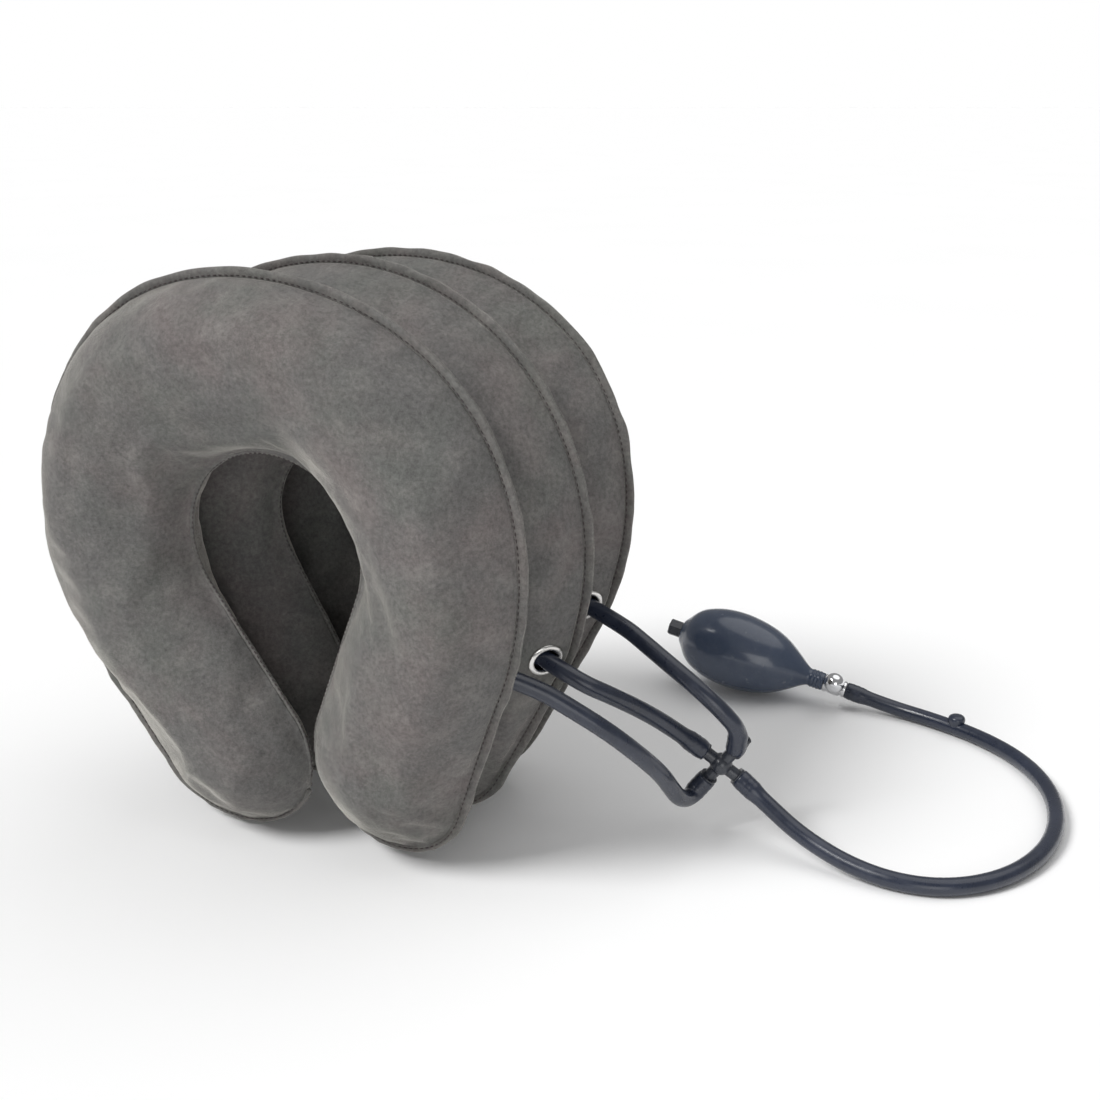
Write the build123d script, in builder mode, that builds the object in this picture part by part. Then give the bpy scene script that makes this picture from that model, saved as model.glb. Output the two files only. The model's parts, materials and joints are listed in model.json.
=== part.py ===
"""Three-tier inflatable neck traction collar with its hoses, release valve and squeeze bulb.

The collar stands on its arm tips with the neck opening running front to back. X runs across the
collar, Y from its front face to the back, and Z up from the surface it stands on. The origin is
under the middle of the collar and bulb together. All sizes are in millimetres.
"""

from build123d import *
import os
from math import cos, pi, radians, sin, sqrt, tan

# ---------------------------------------------------------------- collar
COLLAR_X = -45.5  # middle of the collar
MIDDLE_TIER_Y = -75.6  # seam plane of the middle tier
BAND_RADIUS = 86.0  # centreline of the cushion band, around the neck
BAND_HALF_WIDTH = 40.0  # centreline to seam
CUSHION_HALF_THICKNESS = 27.2  # seam plane to the crest of an inflated panel
ARC_SPAN = 118.0  # degrees from the crown to where the straight arms start
TIER_GAP = 1.1  # between the crests of two neighbouring tiers
PANEL_THICKNESS = 1.2  # velvet laminated on foam
SEAM_THICKNESS = 2.4
SEAM_FLANGE = 5.0  # outer seam allowance, stands proud of the cushion
INNER_SEAM = 1.5  # turned seam around the neck
SEAM_SEAT = 0.8  # width of the panel edge that the seam grips
FLANGE_WRAP = 125.0  # degrees that the outer seam wraps around an arm tip
REST_FLAT = 1.5  # how far the seam is pressed flat by the surface
TIP_GAP = 0.5  # each tip to the collar's middle plane
BLADDER_INSET = 8.0  # outer surface of the cushion to the bladder
BLADDER_WALL = 0.8
JOINING_BAND_WIDTH = 20.0
MOVING_CLEARANCE = 0.3  # soft faces of tiers that move apart

# ---------------------------------------------------------------- eyelets and bladder ports
EYELET_LEAN = 39.0  # degrees from the collar's plane to the eyelet's axis
EYELET_DIAMETER = 17.6
EYELET_BORE = 12.4
EYELET_FLANGE = 1.2
EYELET_ROUNDING = 0.9
EYELET_BARREL_WALL = 0.4
EYELET_SINK = 0.4  # the cloth is pulled this far below its crest
WASHER_DIAMETER = 16.4
WASHER_THICKNESS = 0.7
PORT_DIAMETER = 10.0
PORT_LENGTH = 12.0  # cut back to where it meets the bladder
HOSE_TAIL = 5.4  # middle of the eyelet to the port's face, where the hose starts
AIRWAY = 3.2

# ---------------------------------------------------------------- hoses
HOSE_DIAMETER = 8.5
ARC_SHARE = 0.45  # of a straight run, taken by the arc at each end
CROSS_CENTRE = (142, -43.3, 40.0)
CROSS_HEADING = 10.0  # degrees that the main arm turns towards the back
CROSS_PITCH = 36.87  # degrees that the main arm points down
CROSS_HUB = 11.0
CROSS_ARM = 6.4
CROSS_COLLAR = 9.0
CROSS_COLLAR_WIDTH = 1.6
CROSS_REACH = 11.0  # centre to the shoulder that a hose is pushed up to
BARB_LENGTH = 9.0
BARB_RIDGE = 6.6
BARB_ROOT = 5.6
NUB_DIAMETER = 9.5
NUB_RISE = 4.0
NUB_PLACE = (231.5, 126.0, 4.5)
HOSE_EXITS = {  # first point that each branch hose heads for outside its eyelet
    "front": (75, -115, 98),
    "middle": (82, -89, 94),
    "rear": (86, -38, 103),
}

# ---------------------------------------------------------------- squeeze bulb
BULB_CENTRE = (103.8, 134.6, 24.5)
BULB_PITCH = 12.0  # degrees that the neck points down
BULB_RADIUS = 23.3
BULB_HALF_LENGTH = 41.0
BULB_WALL = 2.2
NECK_DIAMETER = 10.6
NECK_BORE = 7.0
NECK_LENGTH = 10.0
INLET_CAP_ACROSS = 9.4
INLET_CAP_LENGTH = 8.0
INLET_PLUG_LENGTH = 8.0
INLET_CAP_CHAMFER = 0.6
INLET_MOUTH = 3.0
CHAMBER_DIAMETER = 5.6
DISC_DIAMETER = 4.8
DISC_THICKNESS = 0.6
DISC_TRAVEL = 1.0
RETAINER_THICKNESS = 0.8
RETAINER_BORE = 2.8
FILTER_THICKNESS = 0.5
FILTER_HOLE = 0.7
FILTER_PITCH = 1.1
FIT = 0.05  # radial running clearance

# ---------------------------------------------------------------- release valve
VALVE_BODY_DIAMETER = 11.0
VALVE_BODY_LENGTH = 14.0
VALVE_BODY_CHAMFER = 0.8
KNOB_LIFT = 32.0  # degrees that the knob points above level
KNOB_DIAMETER = 12.0
KNOB_STAND_OFF = 1.0  # boss to knob
KNOB_CENTRE = 5.04  # ball's centre above the knob's flat base
BOSS_DIAMETER = 8.0
BOSS_REACH = 6.6  # valve axis to the boss face
SPINDLE_DIAMETER = 3.2
NEEDLE_ANGLE = 30.0
NEEDLE_POINT = 0.6  # blunt end's diameter
O_RING_SECTION = 1.0
O_RING_DEPTH = 2.2  # boss face to the middle of the ring
KNOB_TRAVEL = 0.8  # spindle thread pitch, gained in one turn

os.makedirs("parts", exist_ok=True)

# ---------------------------------------------------------------- worked-out sizes
PITCH = 2 * CUSHION_HALF_THICKNESS + TIER_GAP
LENS_RADIUS = (BAND_HALF_WIDTH**2 + CUSHION_HALF_THICKNESS**2) / (2 * CUSHION_HALF_THICKNESS)
LENS_DROP = LENS_RADIUS - CUSHION_HALF_THICKNESS
TIP_X = BAND_HALF_WIDTH + INNER_SEAM + TIP_GAP
TIP_Z = BAND_HALF_WIDTH + SEAM_FLANGE - REST_FLAT
ARM_LEAN = radians(ARC_SPAN - 90)
ARM_LENGTH = (BAND_RADIUS * cos(ARM_LEAN) - TIP_X) / sin(ARM_LEAN)
RING_Z = TIP_Z + ARM_LENGTH * cos(ARM_LEAN) + BAND_RADIUS * sin(ARM_LEAN)
HALF_SEAM = SEAM_THICKNESS / 2

# name, place in the stack, side of the seam that carries the eyelet (+1 is the front),
# degrees that the eyelet sits below the collar's waist
TIERS = (
    ("front", -1, -1, 23.0),
    ("middle", 0, 1, 23.0),
    ("rear", 1, 1, 19.0),
)


def save(part, label):
    """Label a finished piece and write its STEP file."""
    part.label = label
    export_step(part, f"parts/{label}.step")


def tier_y(place):
    """Seam plane of the tier that is `place` steps behind the middle one."""
    return MIDDLE_TIER_Y + place * PITCH


def lens_half_width(inset, height):
    """Half width of the cushion's lens section at a height, `inset` below its surface."""
    return sqrt((LENS_RADIUS - inset) ** 2 - (height + LENS_DROP) ** 2)


def band_plane(angle, y):
    """Section plane across the band, `angle` degrees from the crown: x outward, y to the front."""
    turn = radians(angle)
    outward = Vector(sin(turn), 0, cos(turn))
    along = Vector(cos(turn), 0, -sin(turn))
    middle = Vector(COLLAR_X, y, RING_Z) + outward * BAND_RADIUS
    return Plane(origin=middle, x_dir=outward, z_dir=along)


def carry_along_band(y, profile, tip_side, tip_turn):
    """Carry a profile from the crown down one arm and around its tip, then mirror it.

    tip_side is the side of the centreline (+1 outer, -1 inner) whose half of the profile goes
    around the tip, and tip_turn is how many degrees it goes.
    """
    arm_start = band_plane(ARC_SPAN, y)
    arm_end = arm_start.offset(ARM_LENGTH)
    half = (Align.MIN, Align.CENTER) if tip_side > 0 else (Align.MAX, Align.CENTER)
    with BuildPart() as band:
        with BuildSketch(band_plane(0, y)):
            add(profile)
        revolve(axis=Axis((COLLAR_X, y, RING_Z), (0, 1, 0)), revolution_arc=ARC_SPAN)
        with BuildSketch(arm_start):
            add(profile)
        extrude(amount=ARM_LENGTH)
        with BuildSketch(arm_end):
            add(profile)
            Rectangle(2 * BAND_HALF_WIDTH, PITCH, align=half, mode=Mode.INTERSECT)
        revolve(axis=Axis(arm_end.origin, (0, tip_side, 0)), revolution_arc=tip_turn)
        mirror(about=Plane.YZ.offset(COLLAR_X))
    return band.part


def panel_profile(side):
    """Crescent section of one velvet panel, on the front (+1) or rear (-1) of the seam."""
    outer = lens_half_width(0, HALF_SEAM)
    inner = lens_half_width(PANEL_THICKNESS, HALF_SEAM)
    crest = CUSHION_HALF_THICKNESS
    with BuildSketch() as profile:
        with BuildLine():
            ThreePointArc((-outer, side * HALF_SEAM), (0, side * crest), (outer, side * HALF_SEAM))
            Line((outer, side * HALF_SEAM), (inner, side * HALF_SEAM))
            ThreePointArc(
                (inner, side * HALF_SEAM),
                (0, side * (crest - PANEL_THICKNESS)),
                (-inner, side * HALF_SEAM),
            )
            Line((-inner, side * HALF_SEAM), (-outer, side * HALF_SEAM))
        make_face()
    return profile.sketch


def lens_profile(inset):
    """Filled lens section, `inset` inside the cushion's surface."""
    edge = lens_half_width(inset, 0)
    crest = CUSHION_HALF_THICKNESS - inset
    with BuildSketch() as profile:
        with BuildLine():
            ThreePointArc((-edge, 0), (0, crest), (edge, 0))
            ThreePointArc((edge, 0), (0, -crest), (-edge, 0))
        make_face()
    return profile.sketch


def bladder_profile():
    """Thin closed lens ring: the wall of the air bladder."""
    with BuildSketch() as profile:
        add(lens_profile(BLADDER_INSET))
        add(lens_profile(BLADDER_INSET + BLADDER_WALL), mode=Mode.SUBTRACT)
    return profile.sketch


def seam_profile(side, width):
    """Flat seam strip on the outer (+1) or inner (-1) edge of the band, `width` mm proud."""
    start = lens_half_width(0, HALF_SEAM) - SEAM_SEAT
    end = BAND_HALF_WIDTH + width
    with BuildSketch() as profile:
        with Locations((side * (start + end) / 2, 0)):
            Rectangle(end - start, SEAM_THICKNESS)
    return profile.sketch


def joining_profile(side):
    """Strip bonded to the middle cushion's crest, filling the gap up to the next tier."""
    reach = JOINING_BAND_WIDTH / 2
    low = sqrt(LENS_RADIUS**2 - reach**2) - LENS_DROP
    top = CUSHION_HALF_THICKNESS + TIER_GAP - MOVING_CLEARANCE
    with BuildSketch() as profile:
        with BuildLine():
            ThreePointArc(
                (-reach, side * low), (0, side * CUSHION_HALF_THICKNESS), (reach, side * low)
            )
            Polyline(
                (reach, side * low), (reach, side * top), (-reach, side * top), (-reach, side * low)
            )
        make_face()
    return profile.sketch


def eyelet_plane(place, side, drop):
    """Plane on the cushion's surface at a tier's eyelet, facing out along the eyelet's axis."""
    lean = radians(EYELET_LEAN)
    fall = radians(drop)
    outward = Vector(cos(fall), 0, -sin(fall))
    normal = outward * cos(lean) + Vector(0, -side * sin(lean), 0)
    reach = BAND_RADIUS + LENS_RADIUS * cos(lean)
    depth = LENS_RADIUS * sin(lean) - LENS_DROP
    middle = Vector(COLLAR_X, tier_y(place) - side * depth, RING_Z) + outward * reach
    return Plane(origin=middle, x_dir=(sin(fall), 0, cos(fall)), z_dir=normal)


def port_plane(name, eyelet):
    """Plane in the middle of the eyelet's barrel, facing along the hose that leans out of it."""
    middle = eyelet.offset(-EYELET_SINK - PANEL_THICKNESS / 2).origin
    return Plane(origin=middle, z_dir=Vector(*HOSE_EXITS[name]) - middle)


def make_panel(name, place, side, eyelet):
    """One velvet panel, with a flat patch and a hole where it carries the eyelet."""
    shell = carry_along_band(tier_y(place), panel_profile(side), 1, 180)
    facing = "front" if side > 0 else "rear"
    with BuildPart() as panel:
        add(shell)
        if eyelet is not None:
            with BuildSketch(eyelet.offset(-EYELET_SINK - 3 * PANEL_THICKNESS)):
                Circle(EYELET_DIAMETER / 2)
            extrude(amount=5 * PANEL_THICKNESS, mode=Mode.SUBTRACT)
            with BuildSketch(eyelet.offset(-EYELET_SINK)):
                Circle(EYELET_DIAMETER / 2)
                Circle(EYELET_BORE / 2 + EYELET_BARREL_WALL, mode=Mode.SUBTRACT)
            extrude(amount=-PANEL_THICKNESS)
    save(panel.part, f"{name}_tier_{facing}_panel")


def make_seams(name, place):
    """Outer seam flange, pressed flat where it meets the surface, and the turned inner seam."""
    y = tier_y(place)
    with BuildPart() as outer_seam:
        add(carry_along_band(y, seam_profile(1, SEAM_FLANGE), 1, FLANGE_WRAP))
        split(bisect_by=Plane.XY, keep=Keep.TOP)
    save(outer_seam.part, f"{name}_tier_outer_seam")
    with BuildPart() as inner_seam:
        add(carry_along_band(y, seam_profile(-1, INNER_SEAM), -1, 180 - FLANGE_WRAP))
    save(inner_seam.part, f"{name}_tier_inner_seam")


def make_bladder(name, place, eyelet):
    """Airtight bladder and the moulded port that its hose is bonded to."""
    y = tier_y(place)
    face = port_plane(name, eyelet).offset(-HOSE_TAIL)
    with BuildPart() as bladder:
        add(carry_along_band(y, bladder_profile(), 1, 180))
        with BuildSketch(face):
            Circle(AIRWAY / 2)
        extrude(amount=-PORT_LENGTH, mode=Mode.SUBTRACT)
    save(bladder.part, f"{name}_air_bladder")
    with BuildPart() as port:
        with BuildSketch(face):
            Circle(PORT_DIAMETER / 2)
            Circle(AIRWAY / 2, mode=Mode.SUBTRACT)
        extrude(amount=-PORT_LENGTH)
        add(carry_along_band(y, lens_profile(BLADDER_INSET), 1, 180), mode=Mode.SUBTRACT)
    save(port.part, f"{name}_bladder_port")


def make_eyelet(name, eyelet):
    """Two-piece grommet: a flanged barrel through the cloth and the washer rolled on behind."""
    seat = -EYELET_SINK
    back = seat - PANEL_THICKNESS
    barrel_radius = EYELET_BORE / 2 + EYELET_BARREL_WALL
    with BuildPart() as ring:
        with BuildSketch(eyelet.offset(seat)):
            Circle(EYELET_DIAMETER / 2)
            Circle(EYELET_BORE / 2, mode=Mode.SUBTRACT)
        extrude(amount=EYELET_FLANGE)
        rims = ring.edges().filter_by(GeomType.CIRCLE).group_by(SortBy.RADIUS)[-1]
        fillet(rims.sort_by(Axis(eyelet.origin, eyelet.z_dir))[-1], EYELET_ROUNDING)
        with BuildSketch(eyelet.offset(seat)):
            Circle(barrel_radius)
            Circle(EYELET_BORE / 2, mode=Mode.SUBTRACT)
        extrude(amount=back - seat - WASHER_THICKNESS)
    save(ring.part, f"{name}_eyelet")
    with BuildPart() as washer:
        with BuildSketch(eyelet.offset(back)):
            Circle(WASHER_DIAMETER / 2)
            Circle(barrel_radius, mode=Mode.SUBTRACT)
        extrude(amount=-WASHER_THICKNESS)
    save(washer.part, f"{name}_eyelet_washer")


for tier, step, eyelet_side, eyelet_drop in TIERS:
    hole = eyelet_plane(step, eyelet_side, eyelet_drop)
    make_panel(tier, step, 1, hole if eyelet_side > 0 else None)
    make_panel(tier, step, -1, hole if eyelet_side < 0 else None)
    make_seams(tier, step)
    make_bladder(tier, step, hole)
    make_eyelet(tier, hole)

for tier, facing_side in (("front", 1), ("rear", -1)):
    strip = carry_along_band(MIDDLE_TIER_Y, joining_profile(facing_side), 1, 180)
    save(strip, f"{tier}_joining_band")


# ---------------------------------------------------------------- four-way connector
heading = radians(CROSS_HEADING)
pitch = radians(CROSS_PITCH)
MAIN_ARM = Vector(cos(pitch) * cos(heading), sin(heading), -sin(pitch) * cos(heading))
SIDE_ARM = Vector(sin(pitch), 0, cos(pitch))
ARMS = {
    "main": Plane(origin=CROSS_CENTRE, x_dir=SIDE_ARM, z_dir=MAIN_ARM),
    "middle": Plane(origin=CROSS_CENTRE, x_dir=SIDE_ARM, z_dir=-MAIN_ARM),
    "rear": Plane(origin=CROSS_CENTRE, x_dir=MAIN_ARM, z_dir=SIDE_ARM),
    "front": Plane(origin=CROSS_CENTRE, x_dir=MAIN_ARM, z_dir=-SIDE_ARM),
}
FROM_BASE = (Align.CENTER, Align.CENTER, Align.MIN)

with BuildPart() as cross_connector:
    with Locations(CROSS_CENTRE):
        Sphere(CROSS_HUB / 2)
    for arm in ARMS.values():
        with Locations(arm.location):
            Cylinder(CROSS_ARM / 2, CROSS_REACH, align=FROM_BASE)
        with Locations(arm.offset(CROSS_REACH - CROSS_COLLAR_WIDTH).location):
            Cylinder(CROSS_COLLAR / 2, CROSS_COLLAR_WIDTH, align=FROM_BASE)
        with Locations(arm.offset(CROSS_REACH).location):
            Cylinder(BARB_ROOT / 2, BARB_LENGTH, align=FROM_BASE)
        for ridge in (1, 2):
            with Locations(arm.offset(CROSS_REACH + ridge * BARB_LENGTH / 3).location):
                Cone(BARB_RIDGE / 2, BARB_ROOT / 2, BARB_LENGTH / 4, align=FROM_BASE)
    for arm in ARMS.values():
        with Locations(arm.location):
            Cylinder(
                AIRWAY / 2, CROSS_REACH + BARB_LENGTH, align=FROM_BASE, mode=Mode.SUBTRACT
            )
save(cross_connector.part, "cross_connector")

# ---------------------------------------------------------------- squeeze bulb
fall = radians(BULB_PITCH)
BULB_AXIS = Vector(cos(fall), 0, -sin(fall))
BULB_UP = Vector(sin(fall), 0, cos(fall))


def along_bulb(distance):
    """Plane across the bulb's axis, `distance` mm from its middle towards the hose."""
    return Plane(origin=BULB_CENTRE, x_dir=BULB_UP, z_dir=BULB_AXIS).offset(distance)


def bulb_outline(thinner):
    """Bulb radius at stations along its axis: blunt at the inlet, tapering to the neck."""
    end = BULB_HALF_LENGTH
    full = BULB_RADIUS
    stations = ((-0.93, 0.42), (-0.7, 0.8), (-0.2, 1.0), (0.35, 0.85), (0.78, 0.44))
    inner = [(end * place, full * share - thinner) for place, share in stations]
    neck = NECK_DIAMETER / 2 - thinner
    return [(-end + thinner, neck), *inner, (end, neck)]


def bulb_solid(thinner):
    """Solid of revolution inside the bulb's outline, `thinner` mm inside its surface."""
    start, *_, end = points = bulb_outline(thinner)
    section = Plane(origin=BULB_CENTRE, x_dir=BULB_AXIS, z_dir=(0, -1, 0))
    with BuildPart() as solid:
        with BuildSketch(section):
            with BuildLine():
                Spline(*points)
                Polyline(start, (start[0], 0), (end[0], 0), end)
            make_face()
        revolve(axis=Axis(BULB_CENTRE, BULB_AXIS))
    return solid.part


with BuildPart() as bulb:
    add(bulb_solid(0))
    with BuildSketch(along_bulb(BULB_HALF_LENGTH)):
        Circle(NECK_DIAMETER / 2)
    extrude(amount=NECK_LENGTH)
    add(bulb_solid(BULB_WALL), mode=Mode.SUBTRACT)
    with BuildSketch(along_bulb(-BULB_HALF_LENGTH)):
        Circle(NECK_BORE / 2)
    extrude(amount=2 * BULB_HALF_LENGTH + NECK_LENGTH, mode=Mode.SUBTRACT)
save(bulb.part, "squeeze_bulb")

# ---------------------------------------------------------------- inlet check valve
INLET_FACE = -BULB_HALF_LENGTH
SEAT_DEPTH = INLET_CAP_LENGTH / 2
INLET_SEAT = INLET_FACE - INLET_CAP_LENGTH + SEAT_DEPTH
INLET_RETAINER = INLET_SEAT + DISC_THICKNESS + DISC_TRAVEL + FIT

with BuildPart() as inlet_valve_body:
    with BuildSketch(along_bulb(INLET_FACE)):
        RegularPolygon(INLET_CAP_ACROSS / 2, 6, major_radius=False)
    extrude(amount=-INLET_CAP_LENGTH)
    chamfer(inlet_valve_body.faces().sort_by(Axis(BULB_CENTRE, BULB_AXIS))[0].edges(), INLET_CAP_CHAMFER)
    with BuildSketch(along_bulb(INLET_FACE)):
        Circle(NECK_BORE / 2)
    extrude(amount=INLET_PLUG_LENGTH)
    with BuildSketch(along_bulb(INLET_SEAT)):
        Circle(CHAMBER_DIAMETER / 2)
    extrude(amount=INLET_CAP_LENGTH + INLET_PLUG_LENGTH, mode=Mode.SUBTRACT)
    with BuildSketch(along_bulb(INLET_SEAT)):
        Circle(INLET_MOUTH / 2)
    extrude(amount=-SEAT_DEPTH, mode=Mode.SUBTRACT)
    with BuildSketch(along_bulb(INLET_FACE - INLET_CAP_LENGTH)):
        Circle(CHAMBER_DIAMETER / 2)
    extrude(amount=2 * FILTER_THICKNESS, mode=Mode.SUBTRACT)
save(inlet_valve_body.part, "inlet_valve_body")

with BuildPart() as inlet_filter:
    with BuildSketch(along_bulb(INLET_FACE - INLET_CAP_LENGTH + FILTER_THICKNESS)):
        Circle(CHAMBER_DIAMETER / 2)
        with GridLocations(FILTER_PITCH, FILTER_PITCH, 3, 3):
            Circle(FILTER_HOLE / 2, mode=Mode.SUBTRACT)
    extrude(amount=FILTER_THICKNESS)
save(inlet_filter.part, "inlet_filter")


def make_check_valve(label, seat, retainer_seat, bore):
    """Rubber disc resting on its seat and the ring that stops it one travel further in."""
    with BuildPart() as disc:
        with BuildSketch(along_bulb(seat)):
            Circle(DISC_DIAMETER / 2)
        extrude(amount=DISC_THICKNESS)
    save(disc.part, f"{label}_check_disc")
    with BuildPart() as retainer:
        with BuildSketch(along_bulb(retainer_seat)):
            Circle(bore / 2)
            Circle(RETAINER_BORE / 2, mode=Mode.SUBTRACT)
        extrude(amount=RETAINER_THICKNESS)
    save(retainer.part, f"{label}_disc_retainer")


make_check_valve("inlet", INLET_SEAT, INLET_RETAINER, CHAMBER_DIAMETER)

# ---------------------------------------------------------------- release valve
VALVE_START = BULB_HALF_LENGTH + NECK_LENGTH
VALVE_MIDDLE = VALVE_START + VALVE_BODY_LENGTH / 2
VALVE_END = VALVE_START + VALVE_BODY_LENGTH
OUTLET_SEAT = VALVE_START - BARB_LENGTH / 3
OUTLET_RETAINER = OUTLET_SEAT + DISC_THICKNESS + DISC_TRAVEL + FIT
lift = radians(KNOB_LIFT)
KNOB_AXIS = Vector(0, -1, 0) * cos(lift) + BULB_UP * sin(lift)
KNOB_PLANE = Plane(origin=along_bulb(VALVE_MIDDLE).origin, x_dir=BULB_AXIS, z_dir=KNOB_AXIS)
NEEDLE_TIP = AIRWAY / 2
NEEDLE_LENGTH = (SPINDLE_DIAMETER - NEEDLE_POINT) / 2 / tan(radians(NEEDLE_ANGLE))
GUIDE_BORE = SPINDLE_DIAMETER / 2 + FIT
GROOVE_RADIUS = GUIDE_BORE + O_RING_SECTION
KNOB_BASE = BOSS_REACH + KNOB_STAND_OFF

with BuildPart() as valve_body:
    with BuildSketch(along_bulb(VALVE_START)):
        Circle(VALVE_BODY_DIAMETER / 2)
    extrude(amount=VALVE_BODY_LENGTH)
    chamfer(valve_body.edges().filter_by(GeomType.CIRCLE), VALVE_BODY_CHAMFER)
    with BuildSketch(KNOB_PLANE):
        Circle(BOSS_DIAMETER / 2)
    extrude(amount=BOSS_REACH)
    with BuildSketch(along_bulb(VALVE_START)):
        Circle(NECK_BORE / 2)
    extrude(amount=-BARB_LENGTH)
    with BuildSketch(along_bulb(VALVE_END)):
        Circle(BARB_ROOT / 2)
    extrude(amount=BARB_LENGTH)
    for ridge in (1, 2):
        with Locations(along_bulb(VALVE_END + ridge * BARB_LENGTH / 3).location):
            Cone(BARB_RIDGE / 2, BARB_ROOT / 2, BARB_LENGTH / 4, align=FROM_BASE)
    with BuildSketch(along_bulb(VALVE_START - BARB_LENGTH)):
        Circle(INLET_MOUTH / 2)
    extrude(amount=VALVE_BODY_LENGTH + 2 * BARB_LENGTH, mode=Mode.SUBTRACT)
    with BuildSketch(along_bulb(OUTLET_SEAT)):
        Circle(CHAMBER_DIAMETER / 2)
    extrude(amount=OUTLET_RETAINER + RETAINER_THICKNESS - OUTLET_SEAT, mode=Mode.SUBTRACT)
    with BuildSketch(KNOB_PLANE):
        Circle(GUIDE_BORE)
    extrude(amount=BOSS_REACH, mode=Mode.SUBTRACT)
    with BuildSketch(KNOB_PLANE.offset(BOSS_REACH - O_RING_DEPTH - O_RING_SECTION / 2 - FIT)):
        Circle(GROOVE_RADIUS)
    extrude(amount=O_RING_SECTION + KNOB_TRAVEL + 2 * FIT, mode=Mode.SUBTRACT)
save(valve_body.part, "release_valve_body")

make_check_valve("outlet", OUTLET_SEAT, OUTLET_RETAINER, CHAMBER_DIAMETER)

with BuildPart() as valve_needle:
    with BuildSketch(KNOB_PLANE.offset(NEEDLE_TIP + NEEDLE_LENGTH)):
        Circle(SPINDLE_DIAMETER / 2)
    extrude(amount=KNOB_BASE + KNOB_DIAMETER / 2 - NEEDLE_TIP - NEEDLE_LENGTH)
    with Locations(KNOB_PLANE.offset(NEEDLE_TIP).location):
        Cone(NEEDLE_POINT / 2, SPINDLE_DIAMETER / 2, NEEDLE_LENGTH, align=FROM_BASE)
save(valve_needle.part, "valve_needle")

with BuildPart() as valve_o_ring:
    with BuildSketch(KNOB_PLANE.offset(BOSS_REACH - O_RING_DEPTH - O_RING_SECTION / 2)):
        Circle(GROOVE_RADIUS - FIT)
        Circle(SPINDLE_DIAMETER / 2 + FIT, mode=Mode.SUBTRACT)
    extrude(amount=O_RING_SECTION)
save(valve_o_ring.part, "valve_o_ring")

knob_base = KNOB_PLANE.offset(KNOB_BASE)
with BuildPart() as valve_knob:
    with Locations(knob_base.offset(KNOB_CENTRE).location):
        Sphere(KNOB_DIAMETER / 2)
    split(bisect_by=knob_base, keep=Keep.TOP)
    with BuildSketch(knob_base):
        Circle(SPINDLE_DIAMETER / 2)
    extrude(amount=KNOB_DIAMETER / 2, mode=Mode.SUBTRACT)
save(valve_knob.part, "valve_knob")

# ---------------------------------------------------------------- hoses
EYELETS = {name: eyelet_plane(place, side, drop) for name, place, side, drop in TIERS}


def hose_start(name):
    """Points where a branch hose starts on its bladder port and where it heads for outside."""
    return [port_plane(name, EYELETS[name]).offset(-HOSE_TAIL).origin, HOSE_EXITS[name]]


def shoulder(arm):
    """Point at a connector arm's shoulder, where the hose's end face meets it."""
    return ARMS[arm].offset(CROSS_REACH).origin


ROUTES = {
    "front_hose": [
        *hose_start("front"),
        (91, -110, 88),
        (107, -103, 76),
        (119, -91, 60),
        (123, -77, 47),
        (122.5, -66, 36),
        (121.8, -58.8, 28.8),
        (123.4, -53.5, 25.2),
        (126.8, -48.5, 24.7),
        (131.2, -44.8, 27),
        shoulder("front"),
    ],
    "middle_hose": [
        *hose_start("middle"),
        (98, -79, 83),
        (110, -65, 71),
        (121, -53, 58.5),
        shoulder("middle"),
    ],
    "rear_hose": [
        *hose_start("rear"),
        (102, -44, 98),
        (118, -49, 92),
        (134, -52, 85),
        (148, -51, 76),
        (155, -46.5, 62),
        shoulder("rear"),
    ],
    "main_hose": [
        shoulder("main"),
        (165, -44, 23),
        (184, -50, 12),
        (209, -60, 6),
        (234, -66, 4.5),
        (259, -61, 4.5),
        (281, -42, 4.5),
        (297, -12, 4.5),
        (302, 24, 4.5),
        (296, 62, 4.5),
        (277, 97, 4.5),
        (247, 120, 4.5),
        (216, 132, 4.5),
        (191, 134.5, 5.5),
        along_bulb(VALVE_END).origin,
    ],
}


def hose_radii(points):
    """Bend radius at each inner point: each arc takes ARC_SHARE of the shorter run beside it."""
    runs = [after - before for before, after in zip(points, points[1:])]
    radii = []
    for before, after in zip(runs, runs[1:]):
        turn = radians(before.get_angle(after))
        radii.append(ARC_SHARE * min(before.length, after.length) / tan(turn / 2))
    return radii


def make_hose(label, route):
    """Sweep the hose's outer section along straight runs joined by tangent arcs."""
    points = [Vector(point) for point in route]
    radii = hose_radii(points)
    with BuildPart() as hose:
        with BuildLine():
            path = FilletPolyline(*points, radius=radii)
        with BuildSketch(Plane(origin=path @ 0, z_dir=path % 0)):
            Circle(HOSE_DIAMETER / 2)
        sweep()
    save(hose.part, label)
    ideal = pi * HOSE_DIAMETER**2 / 4 * path.length
    print(f"{label}: {path.length:.0f} mm long, volume {hose.part.volume / ideal:.4f} of section x length")
    print("   radii", [round(radius) for radius in radii])


for label, route in ROUTES.items():
    make_hose(label, route)

with BuildPart() as hose_nub:
    with Locations(NUB_PLACE):
        Cylinder(NUB_DIAMETER / 2, HOSE_DIAMETER / 2 + NUB_RISE, align=FROM_BASE)
    fillet(hose_nub.edges().sort_by(Axis.Z)[-1], NUB_RISE)
save(hose_nub.part, "hose_nub")
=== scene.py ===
"""Looks of a three-tier inflatable neck collar with its hoses, release valve and squeeze bulb.

Each sub-assembly is a class that builds its meshes from numpy surfaces and dresses them in
procedural finishes. Everything is in metres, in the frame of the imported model.
"""

import json
import logging
import math
from dataclasses import dataclass, field
from enum import Enum

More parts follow.
